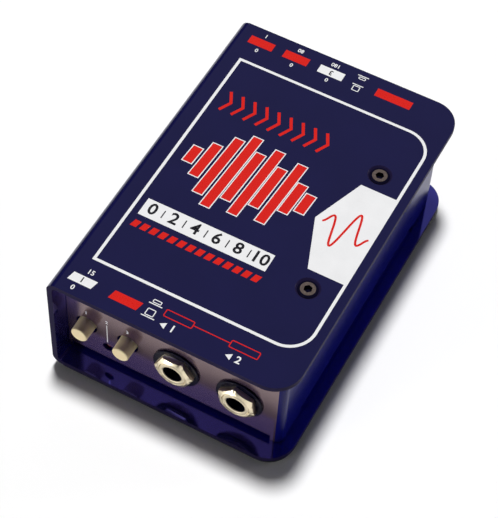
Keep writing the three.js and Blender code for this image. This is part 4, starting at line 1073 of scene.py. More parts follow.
def countersunk_screw(name, radius, head_radius, length, key, face_radius, sunk):
    """A socket screw that points down -Z, its thread drawn as rings. Its head fills a countersink
    whose rim is at z = 0, as far up as it is sunk, and rises from there to its flat face."""
    head = head_radius - radius
    edge = head_radius - sunk
    profile = [(radius * SCREW_TIP, -length)]
    profile += thread(radius, radius - THREAD_DEPTH, THREAD_PITCH - length, -head - THREAD_PITCH)
    profile += [(radius, -head), (edge, -sunk - SCREW_RIM), (edge - SCREW_RIM / 2, -sunk)]
    profile.append((face_radius, -sunk * SCREW_CROWN))
    screw = turned(name, profile, TURNED_SIDES)
    bitten(screw, hexagon_key(key, head))
    return edges_broken(screw, SCREW_EDGE, steps=2)


def in_screw_shade(face, centre):
    """Whether a face of a shell screw lies outside its flat face or down in its key, where black is
    painted as shade.
    """
    reach = max(math.dist(vert.co.xy, centre.xy) for vert in face.verts)
    return reach > SCREW_FACE_RADIUS + SCREW_RIM / 2 or reach < SCREW_KEY * KEY_SHADE


def make_shell_screws(finish, rim_and_key_shade):
    low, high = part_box("top_screw_front")
    size = (half_width_of("top_screw_front"), high.z - low.z)
    master = countersunk_screw(
        "screw_master", SCREW_RADIUS, *size, SCREW_KEY, SCREW_FACE_RADIUS, SCREW_SUNK
    )
    for node, turn in SCREW_TURNS.items():
        centre = middle(node)
        above = node.startswith("top")
        place = (centre.x, centre.y, TOP if above else SLEEVE_LOW.z)
        screw = copied(master, f"{node}_turned")
        placed(screw, place, 0 if above else FACING_DOWN, turn)
        dressed(screw, "case", "black_steel", finish, node)
        # The rim round each head and the inside of its key are painted black as shade.
        dressed_twice(screw, rim_and_key_shade, lambda face: in_screw_shade(face, centre))
    bpy.data.objects.remove(master)


# ------------------------------------------------------------------ Jacks

def on_the_panel(piece, node):
    """Stands a piece made about Z at the back of its node's box, facing the front."""
    return placed(piece, (middle(node).x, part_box(node)[1].y, AXIS_Z), FACING_FRONT)


def make_nut(jack, finish):
    """A hexagon nut: a prism cut by a cone, bored for the bush."""
    node = f"{jack}_jack_nut"
    thickness = length_of(node)
    radius = corner_radius(NUT_FLATS)
    nut = turned(f"{jack}_nut_chamfered", [(radius, 0), (radius, thickness)], HEXAGON)
    placed(nut, (0, 0, 0), 0, NUT_TURNS[jack] - HEX_START)
    corner = NUT_FACE_RADIUS + thickness
    drop = thickness * math.tan(NUT_CHAMFER)
    cone = [(corner, -OVERCUT), (corner, thickness - drop), (NUT_FACE_RADIUS, thickness)]
    bitten(nut, turned("nut_cone", cone, FINE_SIDES), how="INTERSECT")
    bore = BUSH_RADIUS + NUT_GAP
    rim = bore + NUT_BORE_EDGE
    profile = [(bore, -OVERCUT), (bore, thickness - NUT_BORE_EDGE)]
    profile += [(rim, thickness), (rim, thickness + OVERCUT)]
    bitten(nut, turned("nut_bore", profile, TURNED_SIDES))
    edges_broken(nut, NUT_EDGE, steps=2)
    dressed(on_the_panel(nut, node), "case", "bright_nickel", finish, node)


def make_washer(jack, finish):
    node = f"{jack}_jack_washer"
    outer = half_width_of(node)
    thickness = length_of(node)
    bore = BUSH_RADIUS + WASHER_GAP
    profile = [(bore, thickness)] + rounded(outer, WASHER_EDGE, thickness)
    profile += [(outer, WASHER_BACK_EDGE), (outer - WASHER_BACK_EDGE, 0), (bore, 0)]
    washer = smooth(turned(f"{jack}_washer_black", profile, FINE_SIDES, bored=True))
    dressed(on_the_panel(washer, node), "case", "black_nylon", finish, node)


def make_bush(jack, finish, bore_shade):
    """The threaded bush: a bright rim round a bore whose walls are painted black as shade, a
    thread, a shoulder and a tail.
    """
    node = f"{jack}_jack_bush"
    length = length_of(node)
    shoulder = half_width_of(node)
    step = BUSH_TAIL + BUSH_SHOULDER
    root = BUSH_RADIUS - THREAD_DEPTH
    first, last = step + THREAD_PITCH / 2, length - 1.5 * THREAD_PITCH
    profile = [(BORE_RADIUS, 0), (BUSH_RADIUS, 0), (BUSH_RADIUS, BUSH_TAIL)]
    profile += [(shoulder, BUSH_TAIL), (shoulder, step), (BUSH_RADIUS, step)]
    profile += thread(root, BUSH_RADIUS, first, last)
    profile += [(BUSH_RADIUS, length - BUSH_EDGE), (BUSH_RADIUS - BUSH_EDGE, length)]
    profile.append((BORE_RADIUS + BUSH_RIM, length))
    profile.append((BORE_RADIUS + 0.25 * BORE_EDGE, length - 0.3 * BORE_EDGE))
    profile.append((BORE_RADIUS, length - BORE_EDGE))
    bush = smooth(turned(f"{jack}_bush_threaded", profile, TURNED_SIDES, bored=True))
    dressed(on_the_panel(bush, node), "case", "bright_nickel", finish, node)
    x = middle(node).x

    def on_the_bore_wall(face):
        radii = [math.hypot(vert.co.x - x, vert.co.z - AXIS_Z) for vert in face.verts]
        return max(radii) < BORE_RADIUS + LINING

    # The walls of the bore are painted black as shade.
    dressed_twice(bush, bore_shade, on_the_bore_wall)


# ------------------------------------------------------------------ Buttons and lamp

def make_buttons(finish):
    """Five push buttons: tapered caps with a soft edge and a socket for the plunger."""
    base = half_width_of("pad_button")
    length = length_of("pad_button")
    profile = [(base, 0), (base, BUTTON_SKIRT)]
    profile += rounded(BUTTON_FACE_RADIUS, BUTTON_EDGE, length, steps=8)[::-1]
    profile += [(DISH_RADIUS, length - DISH_DEPTH / 2), (DISH_FOOT_RADIUS, length - DISH_DEPTH)]
    master = turned("button_master", profile, TURNED_SIDES)
    half = BUTTON_SOCKET_SIDE / 2
    bitten(master, block("socket", (-half, -half, -OVERCUT), (half, half, BUTTON_SOCKET_DEPTH)))
    smooth(master)
    for name in FRONT_SWITCHES + REAR_SWITCHES:
        node = f"{name}_button"
        low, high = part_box(node)
        front = name in FRONT_SWITCHES
        place = (middle(node).x, high.y if front else low.y, AXIS_Z)
        cap = copied(master, f"{name}_cap")
        placed(cap, place, FACING_FRONT if front else FACING_REAR)
        dressed(cap, f"{name}_push", "cream_plastic", finish, node)
    bpy.data.objects.remove(master)


def make_lamp_lens(back, height, finish):
    """A domed lens on a rim."""
    rim_radius = half_width_of("indicator_led")
    profile = [(rim_radius, 0), (rim_radius, LED_RIM), (LED_RADIUS, LED_RIM)]
    profile += rounded(LED_RADIUS, LED_RADIUS, LED_BODY, steps=10)[:0:-1]
    profile.append((TIP_RADIUS, LED_BODY))
    lens = smooth(turned("lamp_lens", profile, TURNED_SIDES))
    placed(lens, (LAMP_X, back, height), FACING_FRONT)
    dressed(lens, "case", "red_lens", finish, "indicator_led")


def make_lamp_leg(x, back, height):
    """A leg that leaves the lens to the rear and is drawn down to the board at its end."""
    low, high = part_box("indicator_led")
    leg = block(
        "lamp_leg",
        (x - LEG_RADIUS, back - LEG_OVERLAP, height - LEG_RADIUS),
        (x + LEG_RADIUS, high.y, height + LEG_RADIUS),
    )
    bend = high.y - 2 * LEG_RADIUS
    editing(leg)
    pick_all()
    bpy.ops.mesh.bisect(plane_co=(0, bend, 0), plane_no=(0, 1, 0))
    pick(
        leg, "FACE", lambda face: face.normal.z < -FACING and face.calc_center_median().y > bend
    )
    drop = (0, 0, low.z - (height - LEG_RADIUS))
    bpy.ops.mesh.extrude_region_move(TRANSFORM_OT_translate={"value": drop})
    done()
    return edges_broken(leg, LEG_EDGE, steps=2)


def make_lamp(lens_finish, leg_finish):
    """The lamp: its lens, and its two legs bent down to the board."""
    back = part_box("indicator_led")[0].y + LED_BODY
    height = BOARD_TOP + LED_STAND
    make_lamp_lens(back, height, lens_finish)
    legs = [make_lamp_leg(LAMP_X + side * LEG_SPREAD, back, height) for side in (-1, 1)]
    dressed(joined("lamp_legs", legs), "case", "tinned_steel", leg_finish)


# ------------------------------------------------------------------ Output connector

def make_connector_shell(finish):
    """The output connector's shell: a flange with a barrel behind it and a keyed cup in front. As
    it faces the rear, its own +Y points down, and the keyway at the top lies on its -Y side."""
    node = "output_connector_shell"
    low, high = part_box(node)
    depth = length_of(node)
    half_width = half_width_of(node)
    half_height = (high.z - low.z) / 2
    flange = block(
        "connector_shell",
        (-half_width, -half_height, -FLANGE_THICKNESS),
        (half_width, half_height, 0),
    )
    editing(flange)
    pick(flange, "EDGE", lambda edge: along(edge, 2))
    round_picked(FLANGE_CORNER, BEND_STEPS)
    done()
    barrel = [(BARREL_RADIUS, -depth), (BARREL_RADIUS, -FLANGE_THICKNESS / 2)]
    bitten(flange, turned("barrel", barrel, FINE_SIDES), how="UNION")
    insert_back = -depth + BARREL_LIP
    throat = CUP_RADIUS - BARREL_LIP
    mouth = CUP_RADIUS + CUP_RIM
    profile = [(throat, -depth - OVERCUT), (throat, insert_back), (CUP_RADIUS, insert_back)]
    profile += [(CUP_RADIUS, -CUP_RIM), (mouth, 0), (mouth, OVERCUT)]
    cup = turned("cup", profile, TURNED_SIDES)
    half_key = KEYWAY_WIDTH / 2
    key_top = CUP_RADIUS + KEYWAY_DEPTH
    keyway = block("keyway", (-half_key, -key_top, -CUP_DEPTH), (half_key, 0, OVERCUT))
    bitten(flange, cup, keyway)
    for screw in CONNECTOR_SCREWS:
        spot = middle(screw) - CONNECTOR
        size = (half_width_of(screw), CONNECTOR_SCREW_RADIUS, FLANGE_THICKNESS)
        bitten(flange, screw_hole((spot.x, -spot.z, 0), *size))
    edges_broken(flange, FLANGE_EDGE)
    placed(flange, (CONNECTOR.x, high.y, CONNECTOR.z), FACING_REAR)
    dressed(flange, "case", "black_shell", finish, node)


def make_connector_insert(finish):
    """The insulating insert: a dished disc with a hole for each pin."""
    node = "output_connector_insert"
    radius = half_width_of(node)
    thickness = length_of(node)
    profile = [(radius, 0)] + rounded(radius, INSERT_EDGE, thickness)[::-1]
    profile.append((radius * INSERT_DISH_RADIUS, thickness))
    profile.append((radius * INSERT_FLOOR_RADIUS, thickness - INSERT_DISH))
    insert = turned("connector_insert", profile, TURNED_SIDES)
    hole_radius = PIN_RADIUS + PIN_GAP
    hole_depth = length_of("output_connector_shell")
    for pin in PINS:
        spot = middle_of_pin(pin) - CONNECTOR
        hole = turned("pin_hole", [(hole_radius, -OVERCUT), (hole_radius, hole_depth)], PIN_SIDES)
        bitten(insert, placed(hole, (spot.x, -spot.z, 0)))
    edges_broken(insert, INSERT_HOLE_EDGE, steps=2)
    placed(insert, (CONNECTOR.x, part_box(node)[0].y, CONNECTOR.z), FACING_REAR)
    dressed(insert, "case", "black_nylon", finish, node)


def middle_of_pin(node):
    """The axis of a pin, which is at the top of its box, over the tail that runs down."""
    low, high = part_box(node)
    return Vector(((low.x + high.x) / 2, high.y, high.z - PIN_RADIUS))


def make_pin(number, node, finish):
    """A contact pin with a round tip, and its tail down to the board."""
    low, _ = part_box(node)
    axis = middle_of_pin(node)
    length = length_of(node)
    profile = [(PIN_RADIUS, 0), (PIN_RADIUS, length - PIN_RADIUS)]
    profile += rounded(PIN_RADIUS, PIN_RADIUS, length, steps=8)[-2:0:-1]
    profile.append((TIP_RADIUS, length))
    pin = turned(f"contact_pin_{number}", profile, PIN_SIDES)
    placed(pin, (axis.x, low.y, axis.z), FACING_REAR)
    tail = turned("pin_tail", [(LEG_RADIUS, low.z), (LEG_RADIUS, axis.z)], TAIL_SIDES)
    placed(tail, (axis.x, low.y + LEG_RADIUS, 0))
    smooth(bitten(pin, tail, how="UNION"))
    dressed(pin, "case", "bright_nickel", finish, node)


def make_connector_screw(number, node, finish):
    head = half_width_of(node)
    screw = countersunk_screw(
        f"flange_screw_{number}",
        CONNECTOR_SCREW_RADIUS,
        head,
        length_of(node),
        CONNECTOR_KEY,
        head - CONNECTOR_SCREW_RIM,
        CONNECTOR_SCREW_SUNK,
    )
    spot = middle(node)
    place = (spot.x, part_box(node)[1].y, spot.z)
    placed(screw, place, FACING_REAR, CONNECTOR_SCREW_TURN * number)
    dressed(screw, "case", "black_steel", finish, node)


# ------------------------------------------------------------------ Laying ink

INK = 0.02 * MM
OVERPRINT = 0.035 * MM
PANEL_INK = 0.85 * INK
ARC_STEPS = 12
SOFT_STEPS = 6
SMALLEST_CORNER = 0.01 * MM
SHARPEST_MITRE = 0.3
NUMERAL_WEIGHT = 0.022
NUMERAL_STEPS = 3


def slanted(x0, x1, y0, y1, lean=0):
    """A four-sided block whose far side is pushed along by its lean."""
    return [(x0, y0), (x1, y0), (x1 + lean, y1), (x0 + lean, y1)]


def arc(x, y, radius, start, stop, steps=ARC_STEPS):
    points = []
    for step in range(steps + 1):
        angle = math.radians(start + (stop - start) * step / steps)
        points.append((x + radius * math.cos(angle), y + radius * math.sin(angle)))
    return points


def soft_box(x0, x1, y0, y1, radius):
    """A block with four round corners."""
    loop = arc(x1 - radius, y1 - radius, radius, 0, 90, SOFT_STEPS)
    loop += arc(x0 + radius, y1 - radius, radius, 90, 180, SOFT_STEPS)
    loop += arc(x0 + radius, y0 + radius, radius, 180, 270, SOFT_STEPS)
    loop += arc(x1 - radius, y0 + radius, radius, 270, 360, SOFT_STEPS)
    return loop


def half_round_box(x0, x1, y0, y1, radius):
    """A block with round corners on its +X side only, as the plate has."""
    loop = [(x0, y1), (x0, y0)]
    loop += arc(x1 - radius, y0 + radius, radius, 270, 360)
    loop += arc(x1 - radius, y1 - radius, radius, 0, 90)
    return loop


def ring_of(loop_maker, x0, x1, y0, y1, radius, width):
    """The outline of a block as a line of some width, inside its edges: two loops."""
    inner = max(radius - width, SMALLEST_CORNER)
    return [
        loop_maker(x0, x1, y0, y1, radius),
        loop_maker(x0 + width, x1 - width, y0 + width, y1 - width, inner),
    ]


def stroke(points, width):
    """A line of some width through points, with square mitres."""
    left, right = [], []
    for index, (x, y) in enumerate(points):
        before = points[max(index - 1, 0)]
        after = points[min(index + 1, len(points) - 1)]
        into = Vector((x - before[0], y - before[1])) if index else None
        out = Vector((after[0] - x, after[1] - y)) if index < len(points) - 1 else None
        run_in = (into or out).normalized()
        run_out = (out or into).normalized()
        run = (run_in + run_out).normalized()
        side = Vector((-run.y, run.x)) * (width / 2 / max(run.dot(run_out), SHARPEST_MITRE))
        left.append((x + side.x, y + side.y))
        right.append((x - side.x, y - side.y))
    return left + right[::-1]


class Print:
    """The ink of one colour on one face. Films are laid on it one by one and then joined. Each is
    drawn with a millimetre as its unit, which fills fine shapes well."""

    def __init__(self, thickness, place=(0, 0, TOP), tilt=0):
        self.thickness = thickness
        self.place = place
        self.tilt = tilt
        self.films = []

    def lay(self, film, thickness, spot=(0, 0), turn=0):
        """Makes a film of ink from its drawing and lays it on the face, over a spot."""
        only(film)
        bpy.ops.object.convert(target="MESH")
        film = bpy.context.object
        film.scale = (MM, MM, MM)
        settled(film)
        placed(film, (*spot, thickness / 2), 0, turn)
        self.films.append(placed(film, self.place, self.tilt))

    def shape(self, *loops, thickness=None):
        """Closed loops of ink, an inner one a gap."""
        thickness = thickness or self.thickness
        drawing = bpy.data.curves.new("ink_film", "CURVE")
        drawing.dimensions = "2D"
        drawing.fill_mode = "BOTH"
        drawing.extrude = thickness / 2 / MM
        for loop in loops:
            line = drawing.splines.new("POLY")
            line.points.add(len(loop) - 1)
            for point, (x, y) in zip(line.points, loop):
                point.co = (x / MM, y / MM, 0, 1)
            line.use_cyclic_u = True
        film = bpy.data.objects.new("ink_film", drawing)
        bpy.context.scene.collection.objects.link(film)
        self.lay(film, thickness)

    def numeral(self, text, size, x, y, turn=0):
        """A plain numeral centred on a spot of the face."""
        deselect()
        bpy.ops.object.text_add()
        film = bpy.context.object
        film.name = "ink_numeral"
        film.data.body = text
        film.data.size = size / MM
        film.data.align_x = "CENTER"
        film.data.align_y = "CENTER"
        film.data.offset = size / MM * NUMERAL_WEIGHT
        film.data.resolution_u = NUMERAL_STEPS
        film.data.extrude = self.thickness / 2 / MM
        self.lay(film, self.thickness, (x, y), turn)

    def close(self, name, finish, slot):
        """All the films as one piece."""
        piece = joined(name, self.films)
        editing(piece)
        merge_all(INK_DOUBLES)
        done()
        dressed(piece, "case", slot, finish)


# ------------------------------------------------------------------ Printing

FRAME_LEFT = -34.3 * MM
FRAME_RIGHT = 39.0 * MM
FRAME_FRONT = -48.8 * MM
FRAME_REAR = 47.7 * MM
FRAME_CORNER = 9.5 * MM
FRAME_LINE = 1.0 * MM

LEVELS = (7, 15, 26, 33, 22, 30, 18, 27, 13, 8)
LEVEL_LEFT = -29.5 * MM
LEVEL_PITCH = 4.55 * MM
LEVEL_WIDTH = 3.3 * MM
LEVEL_MIDDLE = 3.0 * MM
LEVEL_BORDER = 0.35 * MM
LEVEL_LEAN = 2.0 * MM

PANEL_LEFT = 18.5 * MM
PANEL_LEAN = 7.0 * MM
PANEL_HALF = 19.0 * MM
WAVE_LEFT = PANEL_LEFT + 2.5 * MM
WAVE_RIGHT = FRAME_RIGHT - 1.7 * MM
WAVE_HEIGHT = 8.5 * MM
WAVE_LINE = 0.75 * MM
WAVE_TURNS = 2.0
WAVE_STEPS = 64

CHEVRONS = 9
CHEVRON_PITCH = 4.5 * MM
CHEVRON_WIDTH = 2.2 * MM
CHEVRON_MIDDLE = 28.4 * MM
CHEVRON_HALF = 4.4 * MM
CHEVRON_LINE = 1.05 * MM

SCALE_LEFT = -31.0 * MM
SCALE_RIGHT = 14.5 * MM
SCALE_LOW = -26.6 * MM
SCALE_HIGH = -19.6 * MM
SCALE_MIDDLE = -23.0 * MM
SCALE_NUMERALS = ("0", "2", "4", "6", "8", "10")
SCALE_START = SCALE_LEFT + 3.4 * MM
SCALE_PITCH = 7.7 * MM
SCALE_SIZE = 6.2 * MM
TICK_HALF_WIDTH = 0.2 * MM
TICK_HALF_HEIGHT = 1.6 * MM

DASHES = 14
DASH_PITCH = 3.3 * MM
DASH_WIDTH = 2.2 * MM
DASH_LOW = -31.6 * MM
DASH_HIGH = -28.9 * MM
DASH_LEAN = 0.7 * MM

# The blocks beside the controls: their sides from the control's middle, their ends, their lean.
PAD_BLOCK = (-4.4 * MM, 4.0 * MM, -58.8 * MM, -55.6 * MM, 0.7 * MM)
MERGE_BLOCK = (-5.0 * MM, 4.8 * MM, -58.8 * MM, -55.4 * MM, 0.8 * MM)
REAR_BLOCK = (-4.6 * MM, 4.6 * MM, 55.4 * MM, 58.9 * MM, 0)
OUTPUT_BLOCK = (-6.5 * MM, 6.5 * MM, 55.4 * MM, 58.9 * MM, 0)
BLOCK_NUMERAL = 2.9 * MM
PAD_NUMERAL_Y = -57.2 * MM
REAR_NUMERAL_Y = 57.15 * MM

JACK_NUMERAL = 3.6 * MM
JACK_NUMERAL_Y = -59.3 * MM
ARROW_TIP = -4.4 * MM
ARROW_BACK = -2.4 * MM
ARROW_HALF = 1.2 * MM
LINK_HALF = 5.0 * MM
LINK_MIDDLE = -55.0 * MM
LINK_HEIGHT = 2.9 * MM
LINK_CORNER = 0.6 * MM
LINK_LINE = 0.34 * MM

# The small values by the push buttons. Those of the pad stand a little aside of it.
PAD_VALUE = 2.5 * MM
PAD_VALUES = (("0", -1.2 * MM, -60.9 * MM), ("15", 1.0 * MM, -53.5 * MM))
REAR_VALUE = 2.2 * MM
REAR_VALUES = (("1", "ground"), ("80", "low_cut"), ("180", "polarity"))
REAR_ZERO_Y = 53.6 * MM
REAR_VALUE_Y = 60.9 * MM

# Push buttons drawn from the side: where each stands along Y, and whether it is out.
MARK_X = -8.6 * MM
MARK_SIZE = 3.0 * MM
MARKS = ((-58.6 * MM, True), (-53.6 * MM, False))
REAR_MARK_X = 5.9 * MM
REAR_MARK_SIZE = 2.6 * MM
REAR_MARKS = ((56.2 * MM, True), (60.6 * MM, False))
MARK_LINE = 0.3 * MM
MARK_CORNER = 0.4 * MM
MARK_GAP = 0.3 * MM
MARK_PLATE = 0.35 * MM
MARK_OUT = 0.9
MARK_IN = 0.45
MARK_RAIL = 0.78

LAMP_LINE_HALF_WIDTH = 0.16 * MM
LAMP_LINE_HALF_HEIGHT = 4.8 * MM
PANEL_NUMERAL_Z = AXIS_Z + 6.4 * MM
PANEL_NUMERAL = 2.2 * MM
LAMP_NUMERAL = 2.0 * MM


def button_x(name):
    return middle(f"{name}_button").x


def block_beside(x, sizes):
    left, right, low, high, lean = sizes
    return slanted(x + left, x + right, low, high, lean)


def push_mark(x, y, size, out):
    """A push button drawn from the side, standing out of its panel or pressed in."""
    half = size / 2
    rise = size * (MARK_OUT if out else MARK_IN)
    rail = size * MARK_RAIL
    cap = ring_of(soft_box, x - half, x + half, y, y + rise, MARK_CORNER, MARK_LINE)
    plate = slanted(x - rail, x + rail, y - MARK_GAP - MARK_PLATE, y - MARK_GAP)
    return cap + [plate]


def print_levels(white, red):
    """Slanted bars of a level meter, each a red block in a white border."""
    borders, bars = [], []
    for index, level in enumerate(LEVELS):
        x = LEVEL_LEFT + index * LEVEL_PITCH
        half = level * MM / 2
        lean = LEVEL_LEAN * level / max(LEVELS)
        for loops, edge in ((borders, LEVEL_BORDER), (bars, 0)):
            ends = (LEVEL_MIDDLE - half - edge, LEVEL_MIDDLE + half + edge)
            loops.append(slanted(x - edge, x + LEVEL_WIDTH + edge, *ends, lean))
    white.shape(*borders)
    red.shape(*bars)


def print_wave_panel(white, red):
    """A white panel that points left and runs into the frame's line, with a red wave across it."""
    reach = FRAME_RIGHT - FRAME_LINE / 2
    shoulder = PANEL_LEFT + PANEL_LEAN
    panel = [(shoulder, PANEL_HALF), (PANEL_LEFT, 0), (shoulder, -PANEL_HALF)]
    panel += [(reach, -PANEL_HALF), (reach, PANEL_HALF)]
    white.shape(panel, thickness=PANEL_INK)
    points = []
    for step in range(WAVE_STEPS + 1):
        share = step / WAVE_STEPS
        swell = WAVE_HEIGHT * math.sin(math.pi * share)
        y = swell * math.sin(2 * math.pi * WAVE_TURNS * share)
        points.append((WAVE_LEFT + (WAVE_RIGHT - WAVE_LEFT) * share, y))
    red.shape(stroke(points, WAVE_LINE))


def print_chevrons(red):
    low, high = CHEVRON_MIDDLE - CHEVRON_HALF, CHEVRON_MIDDLE + CHEVRON_HALF
    chevrons = []
    for index in range(CHEVRONS):
        x = LEVEL_LEFT + index * CHEVRON_PITCH
        points = [(x, low), (x + CHEVRON_WIDTH, CHEVRON_MIDDLE), (x, high)]
        chevrons.append(stroke(points, CHEVRON_LINE))
    red.shape(*chevrons)


def print_scale(white, red, black):
    """A numbered scale with ticks between its numerals, and a row of dashes under it."""
    white.shape(slanted(SCALE_LEFT, SCALE_RIGHT, SCALE_LOW, SCALE_HIGH))
    low, high = SCALE_MIDDLE - TICK_HALF_HEIGHT, SCALE_MIDDLE + TICK_HALF_HEIGHT
    ticks = []
    for index, text in enumerate(SCALE_NUMERALS):
        x = SCALE_START + index * SCALE_PITCH
        black.numeral(text, SCALE_SIZE, x, SCALE_MIDDLE)
        tick = x + SCALE_PITCH / 2
        ticks.append(slanted(tick - TICK_HALF_WIDTH, tick + TICK_HALF_WIDTH, low, high))
    black.shape(*ticks[:-1])
    dashes = []
    for index in range(DASHES):
        x = SCALE_LEFT + index * DASH_PITCH
        dashes.append(slanted(x, x + DASH_WIDTH, DASH_LOW, DASH_HIGH, DASH_LEAN))
    red.shape(*dashes)


def print_front_marks(white, red, black):
    """The marks along the front edge: a numeral and an arrow for each jack, a block for each
    button, and the two values of the first one beside two push marks."""
    low, high = JACK_NUMERAL_Y - ARROW_HALF, JACK_NUMERAL_Y + ARROW_HALF
    for text, jack in (("1", "input"), ("2", "thru")):
        x = middle(f"{jack}_jack_nut").x
        back = x + ARROW_BACK
        white.shape([(x + ARROW_TIP, JACK_NUMERAL_Y), (back, low), (back, high)])
        white.numeral(text, JACK_NUMERAL, x, JACK_NUMERAL_Y)
    for y, out in MARKS:
        white.shape(*push_mark(MARK_X, y, MARK_SIZE, out))
    pad_x = button_x("pad")
    white.shape(block_beside(pad_x, PAD_BLOCK))
    black.numeral("1", BLOCK_NUMERAL, pad_x, PAD_NUMERAL_Y)
    red.shape(block_beside(button_x("merge"), MERGE_BLOCK))
    for text, aside, y in PAD_VALUES:
        white.numeral(text, PAD_VALUE, pad_x + aside, y)


def print_link(red):
    """A box over each jack and the line that links them."""
    low, high = LINK_MIDDLE - LINK_HEIGHT / 2, LINK_MIDDLE + LINK_HEIGHT / 2
    input_x, thru_x = [middle(f"{jack}_jack_nut").x for jack in JACKS]
    for x in (input_x, thru_x):
        sides = (x - LINK_HALF, x + LINK_HALF)
        red.shape(*ring_of(soft_box, *sides, low, high, LINK_CORNER, LINK_LINE))
    ends = (LINK_MIDDLE - LINK_LINE / 2, LINK_MIDDLE + LINK_LINE / 2)
    red.shape(slanted(input_x + LINK_HALF, thru_x - LINK_HALF, *ends))


def print_rear_marks(white, red, black):
    """The marks along the rear edge, which read from behind."""
    for film, x, sizes in (
        (red, button_x("ground"), REAR_BLOCK),
        (red, button_x("low_cut"), REAR_BLOCK),
        (white, button_x("polarity"), REAR_BLOCK),
        (red, CONNECTOR.x, OUTPUT_BLOCK),
    ):
        film.shape(block_beside(x, sizes))
    black.numeral("3", BLOCK_NUMERAL, button_x("polarity"), REAR_NUMERAL_Y, FROM_BEHIND)
    for text, name in REAR_VALUES:
        white.numeral("0", REAR_VALUE, button_x(name), REAR_ZERO_Y, FROM_BEHIND)
        white.numeral(text, REAR_VALUE, button_x(name), REAR_VALUE_Y, FROM_BEHIND)
    for y, out in REAR_MARKS:
        loops = push_mark(0, 0, REAR_MARK_SIZE, out)
        white.shape(*[[(REAR_MARK_X - x, y - rise) for x, rise in loop] for loop in loops])


def print_top(white_ink, red_ink, black_ink):
    """The printing on the top plate: a frame, level bars, a wave panel, a numbered scale and plain
    marks beside the controls."""
    white, red, black = Print(INK), Print(OVERPRINT), Print(OVERPRINT)
    sides = (FRAME_LEFT, FRAME_RIGHT, FRAME_FRONT, FRAME_REAR)
    white.shape(*ring_of(half_round_box, *sides, FRAME_CORNER, FRAME_LINE))
    print_levels(white, red)
    print_wave_panel(white, red)
    print_chevrons(red)
    print_scale(white, red, black)
    print_front_marks(white, red, black)
    print_link(red)
    print_rear_marks(white, red, black)
    white.close("white_top_print", white_ink, "white_ink")
    red.close("red_top_print", red_ink, "red_ink")
    black.close("black_top_print", black_ink, "blue_enamel")


def print_front(white_ink):
    """A fine line down to the lamp and a small numeral over each control, on the front panel."""
    panel = Print(INK, (0, PANEL_FRONT, 0), FACING_FRONT)
    sides = (LAMP_X - LAMP_LINE_HALF_WIDTH, LAMP_X + LAMP_LINE_HALF_WIDTH)
    ends = (AXIS_Z - LAMP_LINE_HALF_HEIGHT, AXIS_Z + LAMP_LINE_HALF_HEIGHT)
    panel.shape(slanted(*sides, *ends))
    panel.numeral("1", PANEL_NUMERAL, button_x("pad"), PANEL_NUMERAL_Z)
    panel.numeral("3", PANEL_NUMERAL, button_x("merge"), PANEL_NUMERAL_Z)
    panel.numeral("2", LAMP_NUMERAL, LAMP_X, PANEL_NUMERAL_Z)
    panel.close("white_panel_print", white_ink, "white_ink")


# ------------------------------------------------------------------ Making everything

def painted(finish, *nodes):
    """Nodes that keep their own shape take a finish."""
    for node in nodes:
        mesh = frame["nodes"][node].data
        mesh.materials.clear()
        mesh.materials.append(finish)


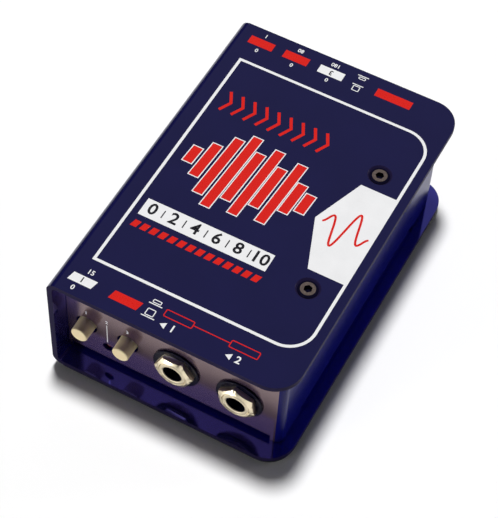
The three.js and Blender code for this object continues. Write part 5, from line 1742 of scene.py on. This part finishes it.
def finish_inside():
    brass = plated("spring_brass", (0.52, 0.36, 0.13), (0.68, 0.50, 0.22), 0.26)
    zinc = plated("zinc_screw", (0.46, 0.46, 0.45), (0.62, 0.62, 0.60), 0.30)
    nylon = black_moulding("jack_body_nylon", 0.42, 0.4 * MM)
    for jack in JACKS:
        painted(nylon, f"{jack}_jack_body")
        painted(brass, f"{jack}_jack_tip_spring", f"{jack}_jack_sleeve_spring")
    painted(nylon, "indicator_led_spacer")
    switches = FRONT_SWITCHES + REAR_SWITCHES
    painted(white_acetal(), *[f"{name}_switch_plunger" for name in switches])
    painted(switch_moulding(), *[f"{name}_switch_body" for name in switches])
    painted(board_resist(), "circuit_board")
    for side in ("left", "right"):
        painted(zinc, *[f"board_screw_{side}_{end}" for end in ENDS])
    for number in (1, 2, 3, 4):
        node = f"coupling_capacitor_{number}"
        painted(capacitor_sleeve(node), node)
    painted(dipped_film(), "film_capacitor_1", "film_capacitor_2")
    painted(moulded_chip("amplifier_epoxy", 0.5 * MM), "input_amplifier", "output_driver")
    transistors = ("supply_transistor_1", "supply_transistor_2")
    painted(moulded_chip("transistor_epoxy", 2.4 * MM), *transistors)
    painted(wound_ferrite(), "supply_coil")


def make_all():
    make_sleeve(satin_enamel(), gloss_enamel(), edge_enamel())
    make_chassis(chassis_enamel(), side_enamel())
    make_pad(sheet_rubber())
    oiled_with_sheen = oiled_steel()
    # The washers' black, also used as painted shade on the screws' rims and keys and in the bores.
    lacquer_and_shade = black_lacquer_and_painted_shade()
    make_shell_screws(oiled_with_sheen, lacquer_and_shade)
    nickel = plated("warm_nickel", (0.86, 0.74, 0.52), (0.96, 0.85, 0.62), 0.27)
    bright = plated("bright_nickel", (0.80, 0.76, 0.68), (0.92, 0.88, 0.80), 0.12)
    tinned = plated("tinned_lamp_leg", (0.52, 0.51, 0.49), (0.66, 0.65, 0.62), 0.28)
    for jack in JACKS:
        make_nut(jack, nickel)
        make_washer(jack, lacquer_and_shade)
        make_bush(jack, nickel, lacquer_and_shade)
    make_buttons(cream_moulding())
    make_lamp(lamp_resin(), tinned)
    make_connector_shell(black_moulding("black_shell_satin", 0.36, 0.5 * MM))
    make_connector_insert(black_moulding("black_insert_nylon", 0.46, 0.3 * MM))
    for number, node in enumerate(PINS, start=1):
        make_pin(number, node, bright)
    for number, node in enumerate(CONNECTOR_SCREWS, start=1):
        make_connector_screw(number, node, oiled_with_sheen)
    white = ink("white_screen_ink", (0.78, 0.78, 0.79), (0.86, 0.86, 0.87))
    red = ink("red_screen_ink", (0.60, 0.010, 0.007), (0.70, 0.016, 0.010))
    black = ink("black_screen_ink", (0.006, 0.006, 0.010), (0.012, 0.012, 0.018))
    print_top(white, red, black)
    print_front(white)
    finish_inside()


add_camera()
add_floor()
light_the_studio()
make_all()
bpy.context.scene.view_settings.view_transform = "Standard"

bpy.context.view_layer.update()
